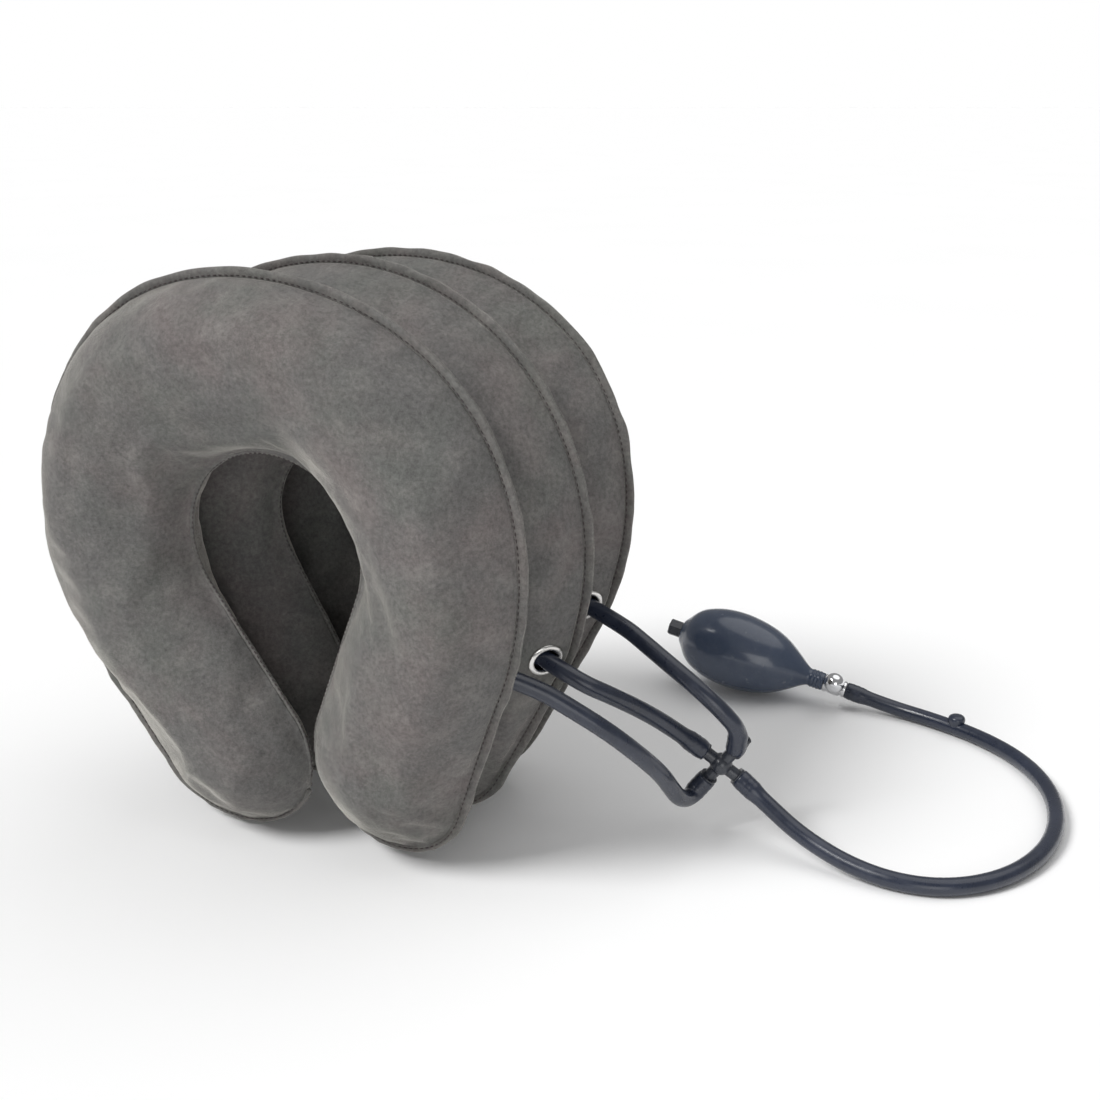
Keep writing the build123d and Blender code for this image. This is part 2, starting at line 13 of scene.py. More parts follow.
import bmesh
import bpy
import numpy as np
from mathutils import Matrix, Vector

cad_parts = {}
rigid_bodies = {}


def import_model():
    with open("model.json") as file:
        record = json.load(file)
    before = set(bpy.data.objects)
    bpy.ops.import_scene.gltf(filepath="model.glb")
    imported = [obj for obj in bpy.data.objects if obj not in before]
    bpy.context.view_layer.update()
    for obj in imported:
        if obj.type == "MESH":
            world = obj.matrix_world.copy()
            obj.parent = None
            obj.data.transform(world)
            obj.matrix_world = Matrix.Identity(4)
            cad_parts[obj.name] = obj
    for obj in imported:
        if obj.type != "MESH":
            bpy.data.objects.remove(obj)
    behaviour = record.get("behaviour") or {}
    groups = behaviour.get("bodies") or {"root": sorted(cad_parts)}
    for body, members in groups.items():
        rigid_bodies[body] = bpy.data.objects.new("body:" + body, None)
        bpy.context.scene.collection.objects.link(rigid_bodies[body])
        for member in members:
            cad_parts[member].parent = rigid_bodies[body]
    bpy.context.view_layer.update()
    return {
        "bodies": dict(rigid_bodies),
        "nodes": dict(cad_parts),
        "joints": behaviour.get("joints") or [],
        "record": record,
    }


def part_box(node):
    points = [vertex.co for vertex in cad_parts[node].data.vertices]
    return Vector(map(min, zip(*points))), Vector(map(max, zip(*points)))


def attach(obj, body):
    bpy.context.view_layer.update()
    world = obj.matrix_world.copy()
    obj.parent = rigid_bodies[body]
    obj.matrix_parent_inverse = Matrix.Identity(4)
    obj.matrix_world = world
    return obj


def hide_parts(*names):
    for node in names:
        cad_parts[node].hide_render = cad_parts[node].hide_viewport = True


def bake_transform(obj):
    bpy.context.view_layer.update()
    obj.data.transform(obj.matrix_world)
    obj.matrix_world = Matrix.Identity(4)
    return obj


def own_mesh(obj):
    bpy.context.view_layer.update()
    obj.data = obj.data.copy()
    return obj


Array = np.ndarray
Point = tuple[float, float, float]
log = logging.getLogger("collar")

COLLAR_X = -0.0455
WAIST_Z = 0.096
RING_RADIUS = 0.086
HALF_WIDTH = 0.040
HALF_THICKNESS = 0.0272
ARC = math.radians(118.0)
WRAP = math.radians(125.0)
TIP_X = 0.042
TIP_Z = 0.0435
ARM_LENGTH = (RING_RADIUS * math.cos(ARC - math.pi / 2) - TIP_X) / math.sin(ARC - math.pi / 2)
RING_Z = TIP_Z + ARM_LENGTH * math.cos(
    ARC - math.pi / 2
) + RING_RADIUS * math.sin(ARC - math.pi / 2)
SWAY_LENGTH = 0.13
HALF_SEAM = 0.0012
EYELET_LEAN = math.radians(39.0)
HOSE_DIAMETER = 0.0085
BULB_CENTRE = np.array([0.1038, 0.1346, 0.0245])
BULB_FALL = math.radians(12.0)
BULB_AXIS = np.array([math.cos(BULB_FALL), 0.0, -math.sin(BULB_FALL)])
BULB_UP = np.array([math.sin(BULB_FALL), 0.0, math.cos(BULB_FALL)])
KNOB_LIFT = math.radians(32.0)
KNOB_AXIS = np.array([0.0, -math.cos(KNOB_LIFT), 0.0]) + BULB_UP * math.sin(KNOB_LIFT)
VALVE_MIDDLE = BULB_CENTRE + BULB_AXIS * 0.058


class Side(Enum):
    """Which face of a tier a panel makes; the value is the sign of its distance along Y."""

    FRONT = -1
    REAR = 1


# ---------------------------------------------------------------- numpy surfaces


def unit(vectors: Array) -> Array:
    """Scale vectors to length one along their last axis.

    Args:
        vectors: one vector or an array of them.

    Returns:
        The unit vectors.
    """
    return vectors / np.linalg.norm(vectors, axis=-1, keepdims=True)


def grid_faces(
    rows: int, columns: int, round_rows: bool = False, round_columns: bool = False
) -> Array:
    """Quads that join the points of a grid.

    Args:
        rows: number of rows of points.
        columns: number of points in a row.
        round_rows: whether the last row joins the first.
        round_columns: whether the last column joins the first.

    Returns:
        Face corners, four to a row.
    """
    row, column = np.meshgrid(
        np.arange(rows if round_rows else rows - 1),
        np.arange(columns if round_columns else columns - 1),
        indexing="ij",
    )
    below, right = (row + 1) % rows, (column + 1) % columns
    corners = (
        row * columns + column,
        row * columns + right,
        below * columns + right,
        below * columns + column,
    )
    return np.stack(corners, -1).reshape(-1, 4)


def smooth_noise(points: Array, wavelength: float, seed: int) -> Array:
    """Smooth noise of about -1 to 1: twelve plane waves in seeded directions, averaged.

    Args:
        points: places to read it at, in metres.
        wavelength: typical distance between crests, in metres.
        seed: picks the directions, lengths and phases.

    Returns:
        One value per point.
    """
    rng = np.random.default_rng(seed)
    ways = unit(rng.normal(size=(12, 3))) * rng.uniform(0.6, 1.6, (12, 1)) * 2 * np.pi / wavelength
    return np.sin(points @ ways.T + rng.uniform(0, 2 * np.pi, 12)).sum(-1) / 4.0


def smooth_curve(points: Array, steps: int) -> Array:
    """Curve through points: a Catmull-Rom spline, whose tangents are half the neighbours' chord.

    Args:
        points: points that it passes through, one to a row.
        steps: number of points per run.

    Returns:
        Points of the curve, first and last included.
    """
    padded = np.vstack([2 * points[0] - points[1], points, 2 * points[-1] - points[-2]])
    t = np.linspace(0, 1, steps, endpoint=False)[None, :, None]
    a, b, c, d = (padded[i : len(points) - 1 + i, None, :] for i in range(4))
    curve = 0.5 * (
        2 * b + (c - a) * t + (2 * a - 5 * b + 4 * c - d) * t**2 + (3 * b - a - 3 * c + d) * t**3
    )
    return np.vstack([curve.reshape(-1, points.shape[1]), points[-1]])


def soften(points: Array, radius: float, steps: int = 5) -> Array:
    """Round the corners of a polyline: each inner corner becomes a parabola arc.

    The arc starts and ends at `radius` from the corner, or 0.45 of the run where that is less.

    Args:
        points: corners of the polyline, one to a row.
        radius: distance from a corner to its arc's ends.
        steps: points per arc.

    Returns:
        The softened polyline.
    """
    corner, before, after = points[1:-1], points[:-2] - points[1:-1], points[2:] - points[1:-1]
    start = before * np.minimum(radius / np.linalg.norm(before, axis=1, keepdims=True), 0.45)
    end = after * np.minimum(radius / np.linalg.norm(after, axis=1, keepdims=True), 0.45)
    t = np.linspace(0, 1, steps)[None, :, None]
    arcs = corner[:, None] + start[:, None] * (1 - t) ** 2 + end[:, None] * t**2
    return np.vstack([points[0], arcs.reshape(-1, points.shape[1]), points[-1]])


def frame_of(axis: Array) -> tuple[Array, Array]:
    """Two directions square to an axis and to each other.

    Args:
        axis: unit vector.

    Returns:
        The two directions.
    """
    helper = np.eye(3)[np.argmin(np.abs(axis))]
    first = unit(np.cross(axis, helper))
    return first, np.cross(axis, first)


def lathe_points(profile: Array, origin: Array, axis: Array, segments: int) -> Array:
    """Surface of revolution: each profile point goes round the axis at its own radius.

    Args:
        profile: distance along the axis and radius, one point to a row.
        origin: point on the axis where the distance is zero.
        axis: unit vector.
        segments: points round the axis.

    Returns:
        Points, profile by segments by three.
    """
    first, second = frame_of(axis)
    turn = np.linspace(0, 2 * np.pi, segments, endpoint=False)
    spoke = np.cos(turn)[:, None] * first + np.sin(turn)[:, None] * second
    return origin + profile[:, None, :1] * axis + profile[:, None, 1:] * spoke


def tube_points(centre: Array, radius: Array, segments: int) -> Array:
    """Tube round a centreline: circles of the given radius, square to the line.

    The circles' reference direction is the one that is most nearly square to the whole line.

    Args:
        centre: points of the centreline.
        radius: one radius per point.
        segments: points round the tube.

    Returns:
        Points, line by segments by three.
    """
    along = unit(np.gradient(centre, axis=0))
    reference = np.linalg.svd(along, full_matrices=False)[2][-1]
    side = unit(np.cross(along, reference))
    up = np.cross(side, along)
    turn = np.linspace(0, 2 * np.pi, segments, endpoint=False)[None, :, None]
    spoke = np.cos(turn) * side[:, None] + np.sin(turn) * up[:, None]
    return centre[:, None] + radius[:, None, None] * spoke


def make_piece(name: str, points: Array, faces: Array, turn_out: bool = True) -> bpy.types.Object:
    """Make an object from points and faces, with doubled points merged and smooth shading.

    Args:
        name: the piece's name.
        points: any array whose last axis is x, y, z.
        faces: face corners, four to a row.
        turn_out: whether the faces are turned outwards, which needs a closed surface.

    Returns:
        The new object, linked to the scene.
    """
    mesh = bpy.data.meshes.new(name)
    mesh.from_pydata(points.reshape(-1, 3).tolist(), [], faces.tolist())
    work = bmesh.new()
    work.from_mesh(mesh)
    bmesh.ops.remove_doubles(work, verts=work.verts, dist=2e-6)
    bmesh.ops.dissolve_degenerate(work, edges=work.edges, dist=1e-6)
    loose = [v for v in work.verts if not v.link_faces]
    bmesh.ops.delete(work, geom=loose, context="VERTS")
    if turn_out:
        bmesh.ops.recalc_face_normals(work, faces=work.faces)
    work.to_mesh(mesh)
    work.free()
    mesh.shade_smooth()
    piece = bpy.data.objects.new(name, mesh)
    bpy.context.scene.collection.objects.link(piece)
    return piece


def make_tube(name: str, rings: Array) -> bpy.types.Object:
    """Piece made from a run of rings, drawn to a point at both ends.

    Args:
        name: its name.
        rings: rings by points by three.

    Returns:
        The piece.
    """
    around = rings.shape[1]
    first, last = (
        end.mean(axis=1, keepdims=True).repeat(around, 1) for end in (rings[:1], rings[-1:])
    )
    grid = np.concatenate([first, rings, last], axis=0)
    return make_piece(name, grid, grid_faces(len(grid), around, False, True))


def lathe(
    name: str, profile: Array, origin: Array, axis: Array, segments: int = 96, ring: bool = False
) -> bpy.types.Object:
    """Turned piece from a profile.

    Args:
        name: the piece's name.
        profile: distance along the axis and radius; starts and ends on the axis unless ring.
        origin: point on the axis where the distance is zero.
        axis: unit vector.
        segments: points round the axis.
        ring: whether the profile is a closed loop, for a piece with a bore.

    Returns:
        The new object.
    """
    points = lathe_points(profile, origin, axis, segments)
    return make_piece(name, points, grid_faces(len(profile), segments, ring, True))


# ---------------------------------------------------------------- shader effects and finishes


@dataclass
class Graph:
    """A node tree under construction, with short ways to add and join nodes."""

    tree: bpy.types.NodeTree

    def node(self, kind: str, **settings: object) -> bpy.types.Node:
        """Add a node.

        Args:
            kind: node type without its ShaderNode prefix.
            settings: attributes to set on it.

        Returns:
            The node.
        """
        made = self.tree.nodes.new(kind if kind.startswith("NodeGroup") else f"ShaderNode{kind}")
        for name, value in settings.items():
            setattr(made, name, value)
        return made

    def join(self, source: bpy.types.NodeSocket, target: bpy.types.NodeSocket) -> None:
        """Link one socket to another."""
        self.tree.links.new(source, target)

    def noise(
        self, where: bpy.types.NodeSocket, scale: float, detail: float, rough: float = 0.5
    ) -> bpy.types.NodeSocket:
        """Noise texture.

        Args:
            where: coordinates.
            scale: cells per metre.
            detail: octaves.
            rough: how strong the fine octaves are.

        Returns:
            Its value.
        """
        made = self.node("TexNoise")
        made.inputs["Scale"].default_value = scale
        made.inputs["Detail"].default_value = detail
        made.inputs["Roughness"].default_value = rough
        self.join(where, made.inputs["Vector"])
        return made.outputs["Fac"]

    def remap(
        self, value: bpy.types.NodeSocket, low: float, high: float, to_low: float, to_high: float
    ) -> bpy.types.NodeSocket:
        """Smooth change of range.

        Args:
            value: what is remapped.
            low: value that gives to_low.
            high: value that gives to_high.
            to_low: lower end.
            to_high: upper end.

        Returns:
            The remapped value.
        """
        made = self.node("MapRange", interpolation_type="SMOOTHSTEP")
        for name, number in (
            ("From Min", low), ("From Max", high), ("To Min", to_low), ("To Max", to_high)
        ):
            made.inputs[name].default_value = number
        self.join(value, made.inputs["Value"])
        return made.outputs["Result"]

    def math(
        self, operation: str, first: bpy.types.NodeSocket, second: bpy.types.NodeSocket | float
    ) -> bpy.types.NodeSocket:
        """Arithmetic on two values.

        Args:
            operation: the Math node's operation.
            first: first value.
            second: second value, a socket or a number.

        Returns:
            The result.
        """
        made = self.node("Math", operation=operation)
        self.join(first, made.inputs[0])
        if isinstance(second, (int, float)):
            made.inputs[1].default_value = second
        else:
            self.join(second, made.inputs[1])
        return made.outputs[0]

    def mix(
        self, share: bpy.types.NodeSocket, first: bpy.types.NodeSocket, second: bpy.types.NodeSocket
    ) -> bpy.types.NodeSocket:
        """Mix of two colours.

        Args:
            share: how much of the second.
            first: first colour.
            second: second colour.

        Returns:
            The mixed colour.
        """
        made = self.node("Mix", data_type="RGBA")
        self.join(share, made.inputs[0])
        self.join(first, made.inputs[6])
        self.join(second, made.inputs[7])
        return made.outputs[2]


def new_group(
    name: str, inputs: dict[str, object], outputs: dict[str, str]
) -> tuple[Graph, bpy.types.Node, bpy.types.Node]:
    """Start a node group.

    Args:
        name: its name.
        inputs: name to default, a number or a colour of four numbers.
        outputs: name to socket type.

    Returns:
        Its graph, its input node and its output node.
    """
    tree = bpy.data.node_groups.new(name, "ShaderNodeTree")
    for label, value in inputs.items():
        kind = "NodeSocketColor" if isinstance(value, tuple) else "NodeSocketFloat"
        tree.interface.new_socket(label, in_out="INPUT", socket_type=kind).default_value = value
    for label, kind in outputs.items():
        tree.interface.new_socket(label, in_out="OUTPUT", socket_type=kind)
    graph = Graph(tree)
    return graph, graph.node("NodeGroupInput"), graph.node("NodeGroupOutput")


def build_nap_group() -> bpy.types.NodeTree:
    """Velvet nap: three tints in soft patches, streaks where the pile is stroked, and fine fibres.

    Returns:
        Group with Colour, Roughness and Height outputs.
    """
    colours = {
        "Mid": (0.17, 0.16, 0.15, 1.0),
        "Warm": (0.2, 0.17, 0.16, 1.0),
        "Cool": (0.15, 0.16, 0.13, 1.0),
        "Pale": (0.3, 0.29, 0.27, 1.0),
    }
    graph, given, made = new_group(
        "velvet_nap", {**colours, "Patch": 16.0, "Fibre": 2600.0}, {
            "Colour": "NodeSocketColor", "Roughness": "NodeSocketFloat", "Height": "NodeSocketFloat"
        }
    )
    where = graph.node("TexCoord").outputs["Object"]
    patch = graph.node("TexNoise")
    patch.inputs["Detail"].default_value = 5.0
    patch.inputs["Roughness"].default_value = 0.62
    patch.inputs["Distortion"].default_value = 0.4
    graph.join(where, patch.inputs["Vector"])
    graph.join(given.outputs["Patch"], patch.inputs["Scale"])
    warm = graph.remap(patch.outputs["Fac"], 0.40, 0.72, 0.0, 0.8)
    second = graph.noise(where, 23.0, 5.0, 0.6)
    cool = graph.remap(second, 0.42, 0.74, 0.0, 0.6)
    turned = graph.node("Mapping")
    turned.inputs["Rotation"].default_value = (0.3, 0.5, 0.9)
    turned.inputs["Scale"].default_value = (60.0, 60.0, 75.0)
    graph.join(where, turned.inputs["Vector"])
    stroke = graph.noise(turned.outputs["Vector"], 1.0, 7.0, 0.68)
    pale = graph.remap(stroke, 0.42, 0.85, 0.0, 0.4)
    speckle = graph.noise(where, 480.0, 4.0, 0.8)
    fibre = graph.node("TexNoise")
    fibre.inputs["Detail"].default_value = 3.0
    fibre.inputs["Roughness"].default_value = 0.75
    graph.join(where, fibre.inputs["Vector"])
    graph.join(given.outputs["Fibre"], fibre.inputs["Scale"])
    colour = graph.mix(warm, given.outputs["Mid"], given.outputs["Warm"])
    colour = graph.mix(cool, colour, given.outputs["Cool"])
    colour = graph.mix(pale, colour, given.outputs["Pale"])
    shade = graph.node("HueSaturation")
    grain = graph.math("MULTIPLY", graph.math("SUBTRACT", speckle, 0.5), 1.45)
    pile = graph.math("MULTIPLY", graph.math("SUBTRACT", fibre.outputs["Fac"], 0.5), 0.7)
    graph.join(graph.math("ADD", graph.math("ADD", grain, pile), 1.0), shade.inputs["Value"])
    graph.join(colour, shade.inputs["Color"])
    graph.join(shade.outputs["Color"], made.inputs["Colour"])
    graph.join(graph.remap(stroke, 0.3, 0.7, 0.96, 0.78), made.inputs["Roughness"])
    height = graph.math(
        "ADD",
        graph.math("MULTIPLY", speckle, 0.5),
        graph.math("MULTIPLY", fibre.outputs["Fac"], 0.5),
    )
    graph.join(height, made.inputs["Height"])
    return graph.tree


def build_skin_group() -> bpy.types.NodeTree:
    """Moulded skin: a fine grain with slow changes of gloss and tint, and a little pale dust.

    Returns:
        Group with Colour, Roughness and Height outputs.
    """
    graph, given, made = new_group(
        "moulded_skin",
        skin_values((0.1, 0.1, 0.1), (0.12, 0.12, 0.14), (0.3, 0.3, 0.3), 0.2, 0.3, 0.5, 900.0),
        {"Colour": "NodeSocketColor", "Roughness": "NodeSocketFloat", "Height": "NodeSocketFloat"},
    )
    where = graph.node("TexCoord").outputs["Object"]
    slow = graph.noise(where, 42.0, 5.0, 0.6)
    smear = graph.noise(where, 160.0, 6.0, 0.65)
    grain = graph.node("TexNoise")
    grain.inputs["Detail"].default_value = 4.0
    graph.join(where, grain.inputs["Vector"])
    graph.join(given.outputs["Grain"], grain.inputs["Scale"])
    colour = graph.mix(
        graph.remap(slow, 0.35, 0.65, 0.0, 1.0), given.outputs["Base"], given.outputs["Tint"]
    )
    specks = graph.remap(graph.noise(where, 1900.0, 2.0, 0.7), 0.62, 0.74, 0.0, 1.0)
    film = graph.remap(smear, 0.5, 0.8, 0.0, 0.7)
    dust = graph.math("MULTIPLY", graph.math("MAXIMUM", specks, film), given.outputs["Dusting"])
    graph.join(graph.mix(dust, colour, given.outputs["Dust"]), made.inputs["Colour"])
    spread = graph.math("SUBTRACT", given.outputs["Rough"], given.outputs["Smooth"])
    gloss = graph.math("MULTIPLY", graph.remap(smear, 0.3, 0.72, 0.0, 1.0), spread)
    graph.join(graph.math("ADD", gloss, given.outputs["Smooth"]), made.inputs["Roughness"])
    relief = graph.math(
        "ADD", graph.math("MULTIPLY", grain.outputs["Fac"], 0.6), graph.math("MULTIPLY", smear, 0.4)
    )
    graph.join(relief, made.inputs["Height"])
    return graph.tree


def group_node(graph: Graph, tree: bpy.types.NodeTree, values: dict[str, object]) -> bpy.types.Node:
    """Place a node group in a material with its own values.

    Args:
        graph: the material's graph.
        tree: the group.
        values: input name to value.

    Returns:
        The group's node.
    """
    placed = graph.node("Group", node_tree=tree)
    for label, value in values.items():
        placed.inputs[label].default_value = value
    return placed


def nap_values(
    mid: Point, warm: Point, cool: Point, pale: Point, patch: float, fibre: float
) -> dict[str, object]:
    """Values of the velvet nap group.

    Args:
        mid: main tint.
        warm: tint of the warm patches.
        cool: tint of the cool patches.
        pale: tint where the pile is stroked.
        patch: how close together the patches are.
        fibre: how fine the pile is.

    Returns:
        Input name to value.
    """
    tints = {"Mid": mid, "Warm": warm, "Cool": cool, "Pale": pale}
    return {
        **{label: (*tint, 1.0) for label, tint in tints.items()}, "Patch": patch, "Fibre": fibre
    }


def skin_values(
    base: Point, tint: Point, dust: Point, dusting: float, smooth: float, rough: float, grain: float
) -> dict[str, object]:
    """Values of the moulded skin group.

    Args:
        base: main colour.
        tint: colour of the slow patches.
        dust: colour of the dust.
        dusting: how much dust there is.
        smooth: roughness where the skin is rubbed.
        rough: roughness elsewhere.
        grain: how fine the grain is.

    Returns:
        Input name to value.
    """
    tints = {"Base": base, "Tint": tint, "Dust": dust}
    colours = {label: (*colour, 1.0) for label, colour in tints.items()}
    return {**colours, "Dusting": dusting, "Smooth": smooth, "Rough": rough, "Grain": grain}


@dataclass(frozen=True)
class Finish:
    """A surface finish: a shared effect group, its values, and the shader's own constants.

    name: the material's name. group: the effect group. values: the group's inputs.
    constants: Principled BSDF inputs that are the same all over. bump: relief depth in metres.
    """

    name: str
    group: bpy.types.NodeTree
    values: dict[str, object]
    constants: dict[str, object] = field(default_factory=dict)
    bump: float = 0.0001

    def material(self) -> bpy.types.Material:
        """Build the finish's material, once.

        Returns:
            The material.
        """
        found = bpy.data.materials.get(self.name)
        if found is not None:
            return found
        made = bpy.data.materials.new(self.name)
        made.use_nodes = True
        graph = Graph(made.node_tree)
        shader = made.node_tree.nodes["Principled BSDF"]
        for label, value in self.constants.items():
            shader.inputs[label].default_value = value
        effect = group_node(graph, self.group, self.values)
        graph.join(effect.outputs["Colour"], shader.inputs["Base Color"])
        graph.join(effect.outputs["Roughness"], shader.inputs["Roughness"])
        bump = graph.node("Bump")
        bump.inputs["Strength"].default_value = 1.0
        bump.inputs["Distance"].default_value = self.bump
        graph.join(effect.outputs["Height"], bump.inputs["Height"])
        graph.join(bump.outputs["Normal"], shader.inputs["Normal"])
        return made


class Finishes:
    """Every finish of the collar, its hoses and its pump."""

    def __init__(self) -> None:
        """Build the effect groups and describe the finishes."""
        nap, skin = build_nap_group(), build_skin_group()
        sheen = {
            "Sheen Weight": 0.85,
            "Sheen Roughness": 0.30,
            "Sheen Tint": (0.86, 0.83, 0.76, 1.0),
            "Specular IOR Level": 0.12,
        }
        self.velvet = Finish(
            "grey_velvet",
            nap,
            nap_values(
                (0.134, 0.131, 0.128), (0.168, 0.146, 0.142), (0.128, 0.136, 0.124),
                (0.275, 0.262, 0.245), 15.0, 2600.0,
            ),
            sheen,
            0.00035,
        )
        self.seam = Finish(
            "turned_velvet_edge",
            nap,
            nap_values(
                (0.140, 0.137, 0.132), (0.170, 0.152, 0.146), (0.132, 0.138, 0.124),
                (0.30, 0.29, 0.27), 45.0, 3000.0,
            ),
            sheen,
            0.0003,
        )
        self.thread = Finish(
            "dark_thread",
            skin,
            skin_values(
                (0.030, 0.022, 0.022), (0.055, 0.038, 0.040), (0.2, 0.18, 0.17), 0.25, 0.6, 0.85,
                4200.0,
            ),
            {},
            0.0001,
        )
        self.bladder = Finish(
            "bladder_film",
            skin,
            skin_values(
                (0.035, 0.035, 0.040), (0.055, 0.054, 0.058), (0.3, 0.3, 0.3), 0.2, 0.45, 0.7, 700.0
            ),
        )
        self.hose = Finish(
            "hose_rubber",
            skin,
            skin_values(
                (0.012, 0.017, 0.033), (0.018, 0.024, 0.044), (0.12, 0.14, 0.18), 0.15, 0.24, 0.40,
                1500.0,
            ),
            {"Coat Weight": 0.35, "Coat Roughness": 0.18},
            0.00006,
        )
        self.bulb = Finish(
            "bulb_rubber",
            skin,
            skin_values(
                (0.046, 0.064, 0.105), (0.060, 0.078, 0.120), (0.22, 0.24, 0.28), 0.16, 0.16, 0.28,
                600.0,
            ),
            {"Coat Weight": 0.35, "Coat Roughness": 0.12},
            0.00004,
        )
        self.plastic = Finish(
            "moulded_plastic",
            skin,
            skin_values(
                (0.018, 0.021, 0.030), (0.030, 0.034, 0.045), (0.25, 0.27, 0.3), 0.15, 0.22, 0.4,
                1400.0,
            ),
            {"Coat Weight": 0.2, "Coat Roughness": 0.15},
            0.00005,
        )
        self.chrome = Finish(
            "polished_chrome",
            skin,
            skin_values(
                (0.80, 0.80, 0.81), (0.72, 0.73, 0.75), (0.45, 0.44, 0.42), 0.08, 0.05, 0.16, 800.0
            ),
            {"Metallic": 1.0},
            0.00001,
        )
        self.nickel = Finish(
            "nickel_plate",
            skin,
            skin_values(
                (0.74, 0.73, 0.71), (0.64, 0.63, 0.61), (0.36, 0.35, 0.33), 0.12, 0.14, 0.30, 1600.0
            ),
            {"Metallic": 1.0},
            0.00002,
        )
        self.disc = Finish(
            "soft_red_rubber",
            skin,
            skin_values(
                (0.30, 0.045, 0.030), (0.36, 0.060, 0.040), (0.5, 0.4, 0.38), 0.15, 0.4, 0.6, 1800.0
            ),
        )


def dress(piece: bpy.types.Object, finish: Finish) -> bpy.types.Object:
    """Give a piece its finish.

    Args:
        piece: the piece or CAD node.
        finish: its finish.

    Returns:
        The piece.
    """
    piece.data.materials.clear()
    piece.data.materials.append(finish.material())
    return piece


def place(
    piece: bpy.types.Object, finish: Finish, body: str, nodes: tuple[str, ...] = ()
) -> bpy.types.Object:
    """Dress a piece, hide the CAD nodes it replaces, and let it ride on a body.

    Args:
        piece: the piece.
        finish: its finish.
        body: the body that carries it.
        nodes: the CAD nodes it replaces.

    Returns:
        The piece.
    """
    dress(piece, finish)
    if nodes:
        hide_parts(*nodes)
    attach(piece, body)
    log.info("%s: %d faces on %s", piece.name, len(piece.data.polygons), body)
    return piece


# ---------------------------------------------------------------- collar tiers


@dataclass(frozen=True)
class Stations:
    """Places along the U-shaped band, in the collar's plane (x, z).

    base: points of the centreline. outer, inner: directions from there to the two seams.
    tip: 0 along the band, growing to 1 where the two seams meet under an arm tip.
    """

    base: Array
    outer: Array
    inner: Array
    tip: Array


def band_stations(places: Array, run_share: float = 0.8) -> Stations:
    """Stations along the band: an arc over the neck, a straight arm, and a half turn at its tip.

    Round the tip the outer direction turns by WRAP and the inner one by the rest of the half
    turn, so that they meet.

    Args:
        places: -1 at the left tip, 0 at the crown, 1 at the right tip.
        run_share: share of a side that is arc and arm.

    Returns:
        The stations.
    """
    reach = np.minimum(np.abs(places) / run_share, 1.0) * (RING_RADIUS * ARC + ARM_LENGTH)
    turn = np.minimum(reach / RING_RADIUS, ARC)
    tip = np.clip((np.abs(places) - run_share) / (1 - run_share), 0, 1)
    out = np.stack([np.sin(turn), np.cos(turn)], -1)
    along = np.stack([np.cos(turn), -np.sin(turn)], -1)
    base = RING_RADIUS * out + (reach - turn * RING_RADIUS)[:, None] * along
    round_outer, round_inner = tip * WRAP, np.pi - tip * (np.pi - WRAP)
    outer = out * np.cos(round_outer)[:, None] + along * np.sin(round_outer)[:, None]
    inner = out * np.cos(round_inner)[:, None] + along * np.sin(round_inner)[:, None]
    mirror = np.stack([np.where(places < 0, -1.0, 1.0), np.ones_like(places)], -1)
    middle = np.array([COLLAR_X, RING_Z])
    return Stations(middle + base * mirror, outer * mirror, inner * mirror, tip)


@dataclass(frozen=True)
class TierShape:
    """Sizes of one inflated tier.

    name: front, middle or rear. seam_y: its seam plane at the waist. lean: how far the plane
    leans along Y per metre of height. swell: how much each half thickness grows per metre of
    height, front then rear. eyelet_side: the face that carries the eyelet. eyelet_drop: how
    far below the collar's widest level it sits, in degrees. seed: picks its small creases.
    sway: terms of its settling across and up, in millimetres.
    """

    name: str
    seam_y: float
    lean: float
    swell: tuple[float, float]
    eyelet_side: Side
    eyelet_drop: float
    seed: int
    sway: tuple[tuple[float, ...], tuple[float, ...]]

    def settle(self, points: Array) -> Array:
        """Sway of the soft cushion in its own plane: how the inflated collar has settled.

        With u and v the distances across and up from the ring's middle, in units of
        SWAY_LENGTH, each shift is a sum of terms in 1, u, v, u*u, u*v, v*v, u*v*v and u*u*v.

        Args:
            points: points of the cushion as it was cut.

        Returns:
            The points where they have settled.
        """
        u, v = (points[..., 0] - COLLAR_X) / SWAY_LENGTH, (points[..., 2] - RING_Z) / SWAY_LENGTH
        terms = np.stack([np.ones_like(u), u, v, u * u, u * v, v * v, u * v * v, u * u * v], -1)
        moved = points.copy()
        moved[..., 0] += terms @ np.array(self.sway[0]) * 1e-3
        moved[..., 2] += terms @ np.array(self.sway[1]) * 1e-3
        return moved

    def seam_plane(self, height: Array) -> Array:
        """Y of the seam plane at a height: the waist's, plus the lean times the height above it."""
        return self.seam_y + self.lean * (height - WAIST_Z)

    def half_thickness(self, height: Array, side: Side) -> Array:
        """Half thickness at a height: the waist's, plus the swell times the height above it."""
        return HALF_THICKNESS + self.swell[0 if side is Side.FRONT else 1] * (height - WAIST_Z)

    def squash_axis(self) -> Point:
        """Direction square to the seam plane."""
        return (0.0, 1.0, -self.lean)

    def anchor(self) -> Point:
        """A point of the seam plane."""
        return (COLLAR_X, self.seam_y, WAIST_Z)


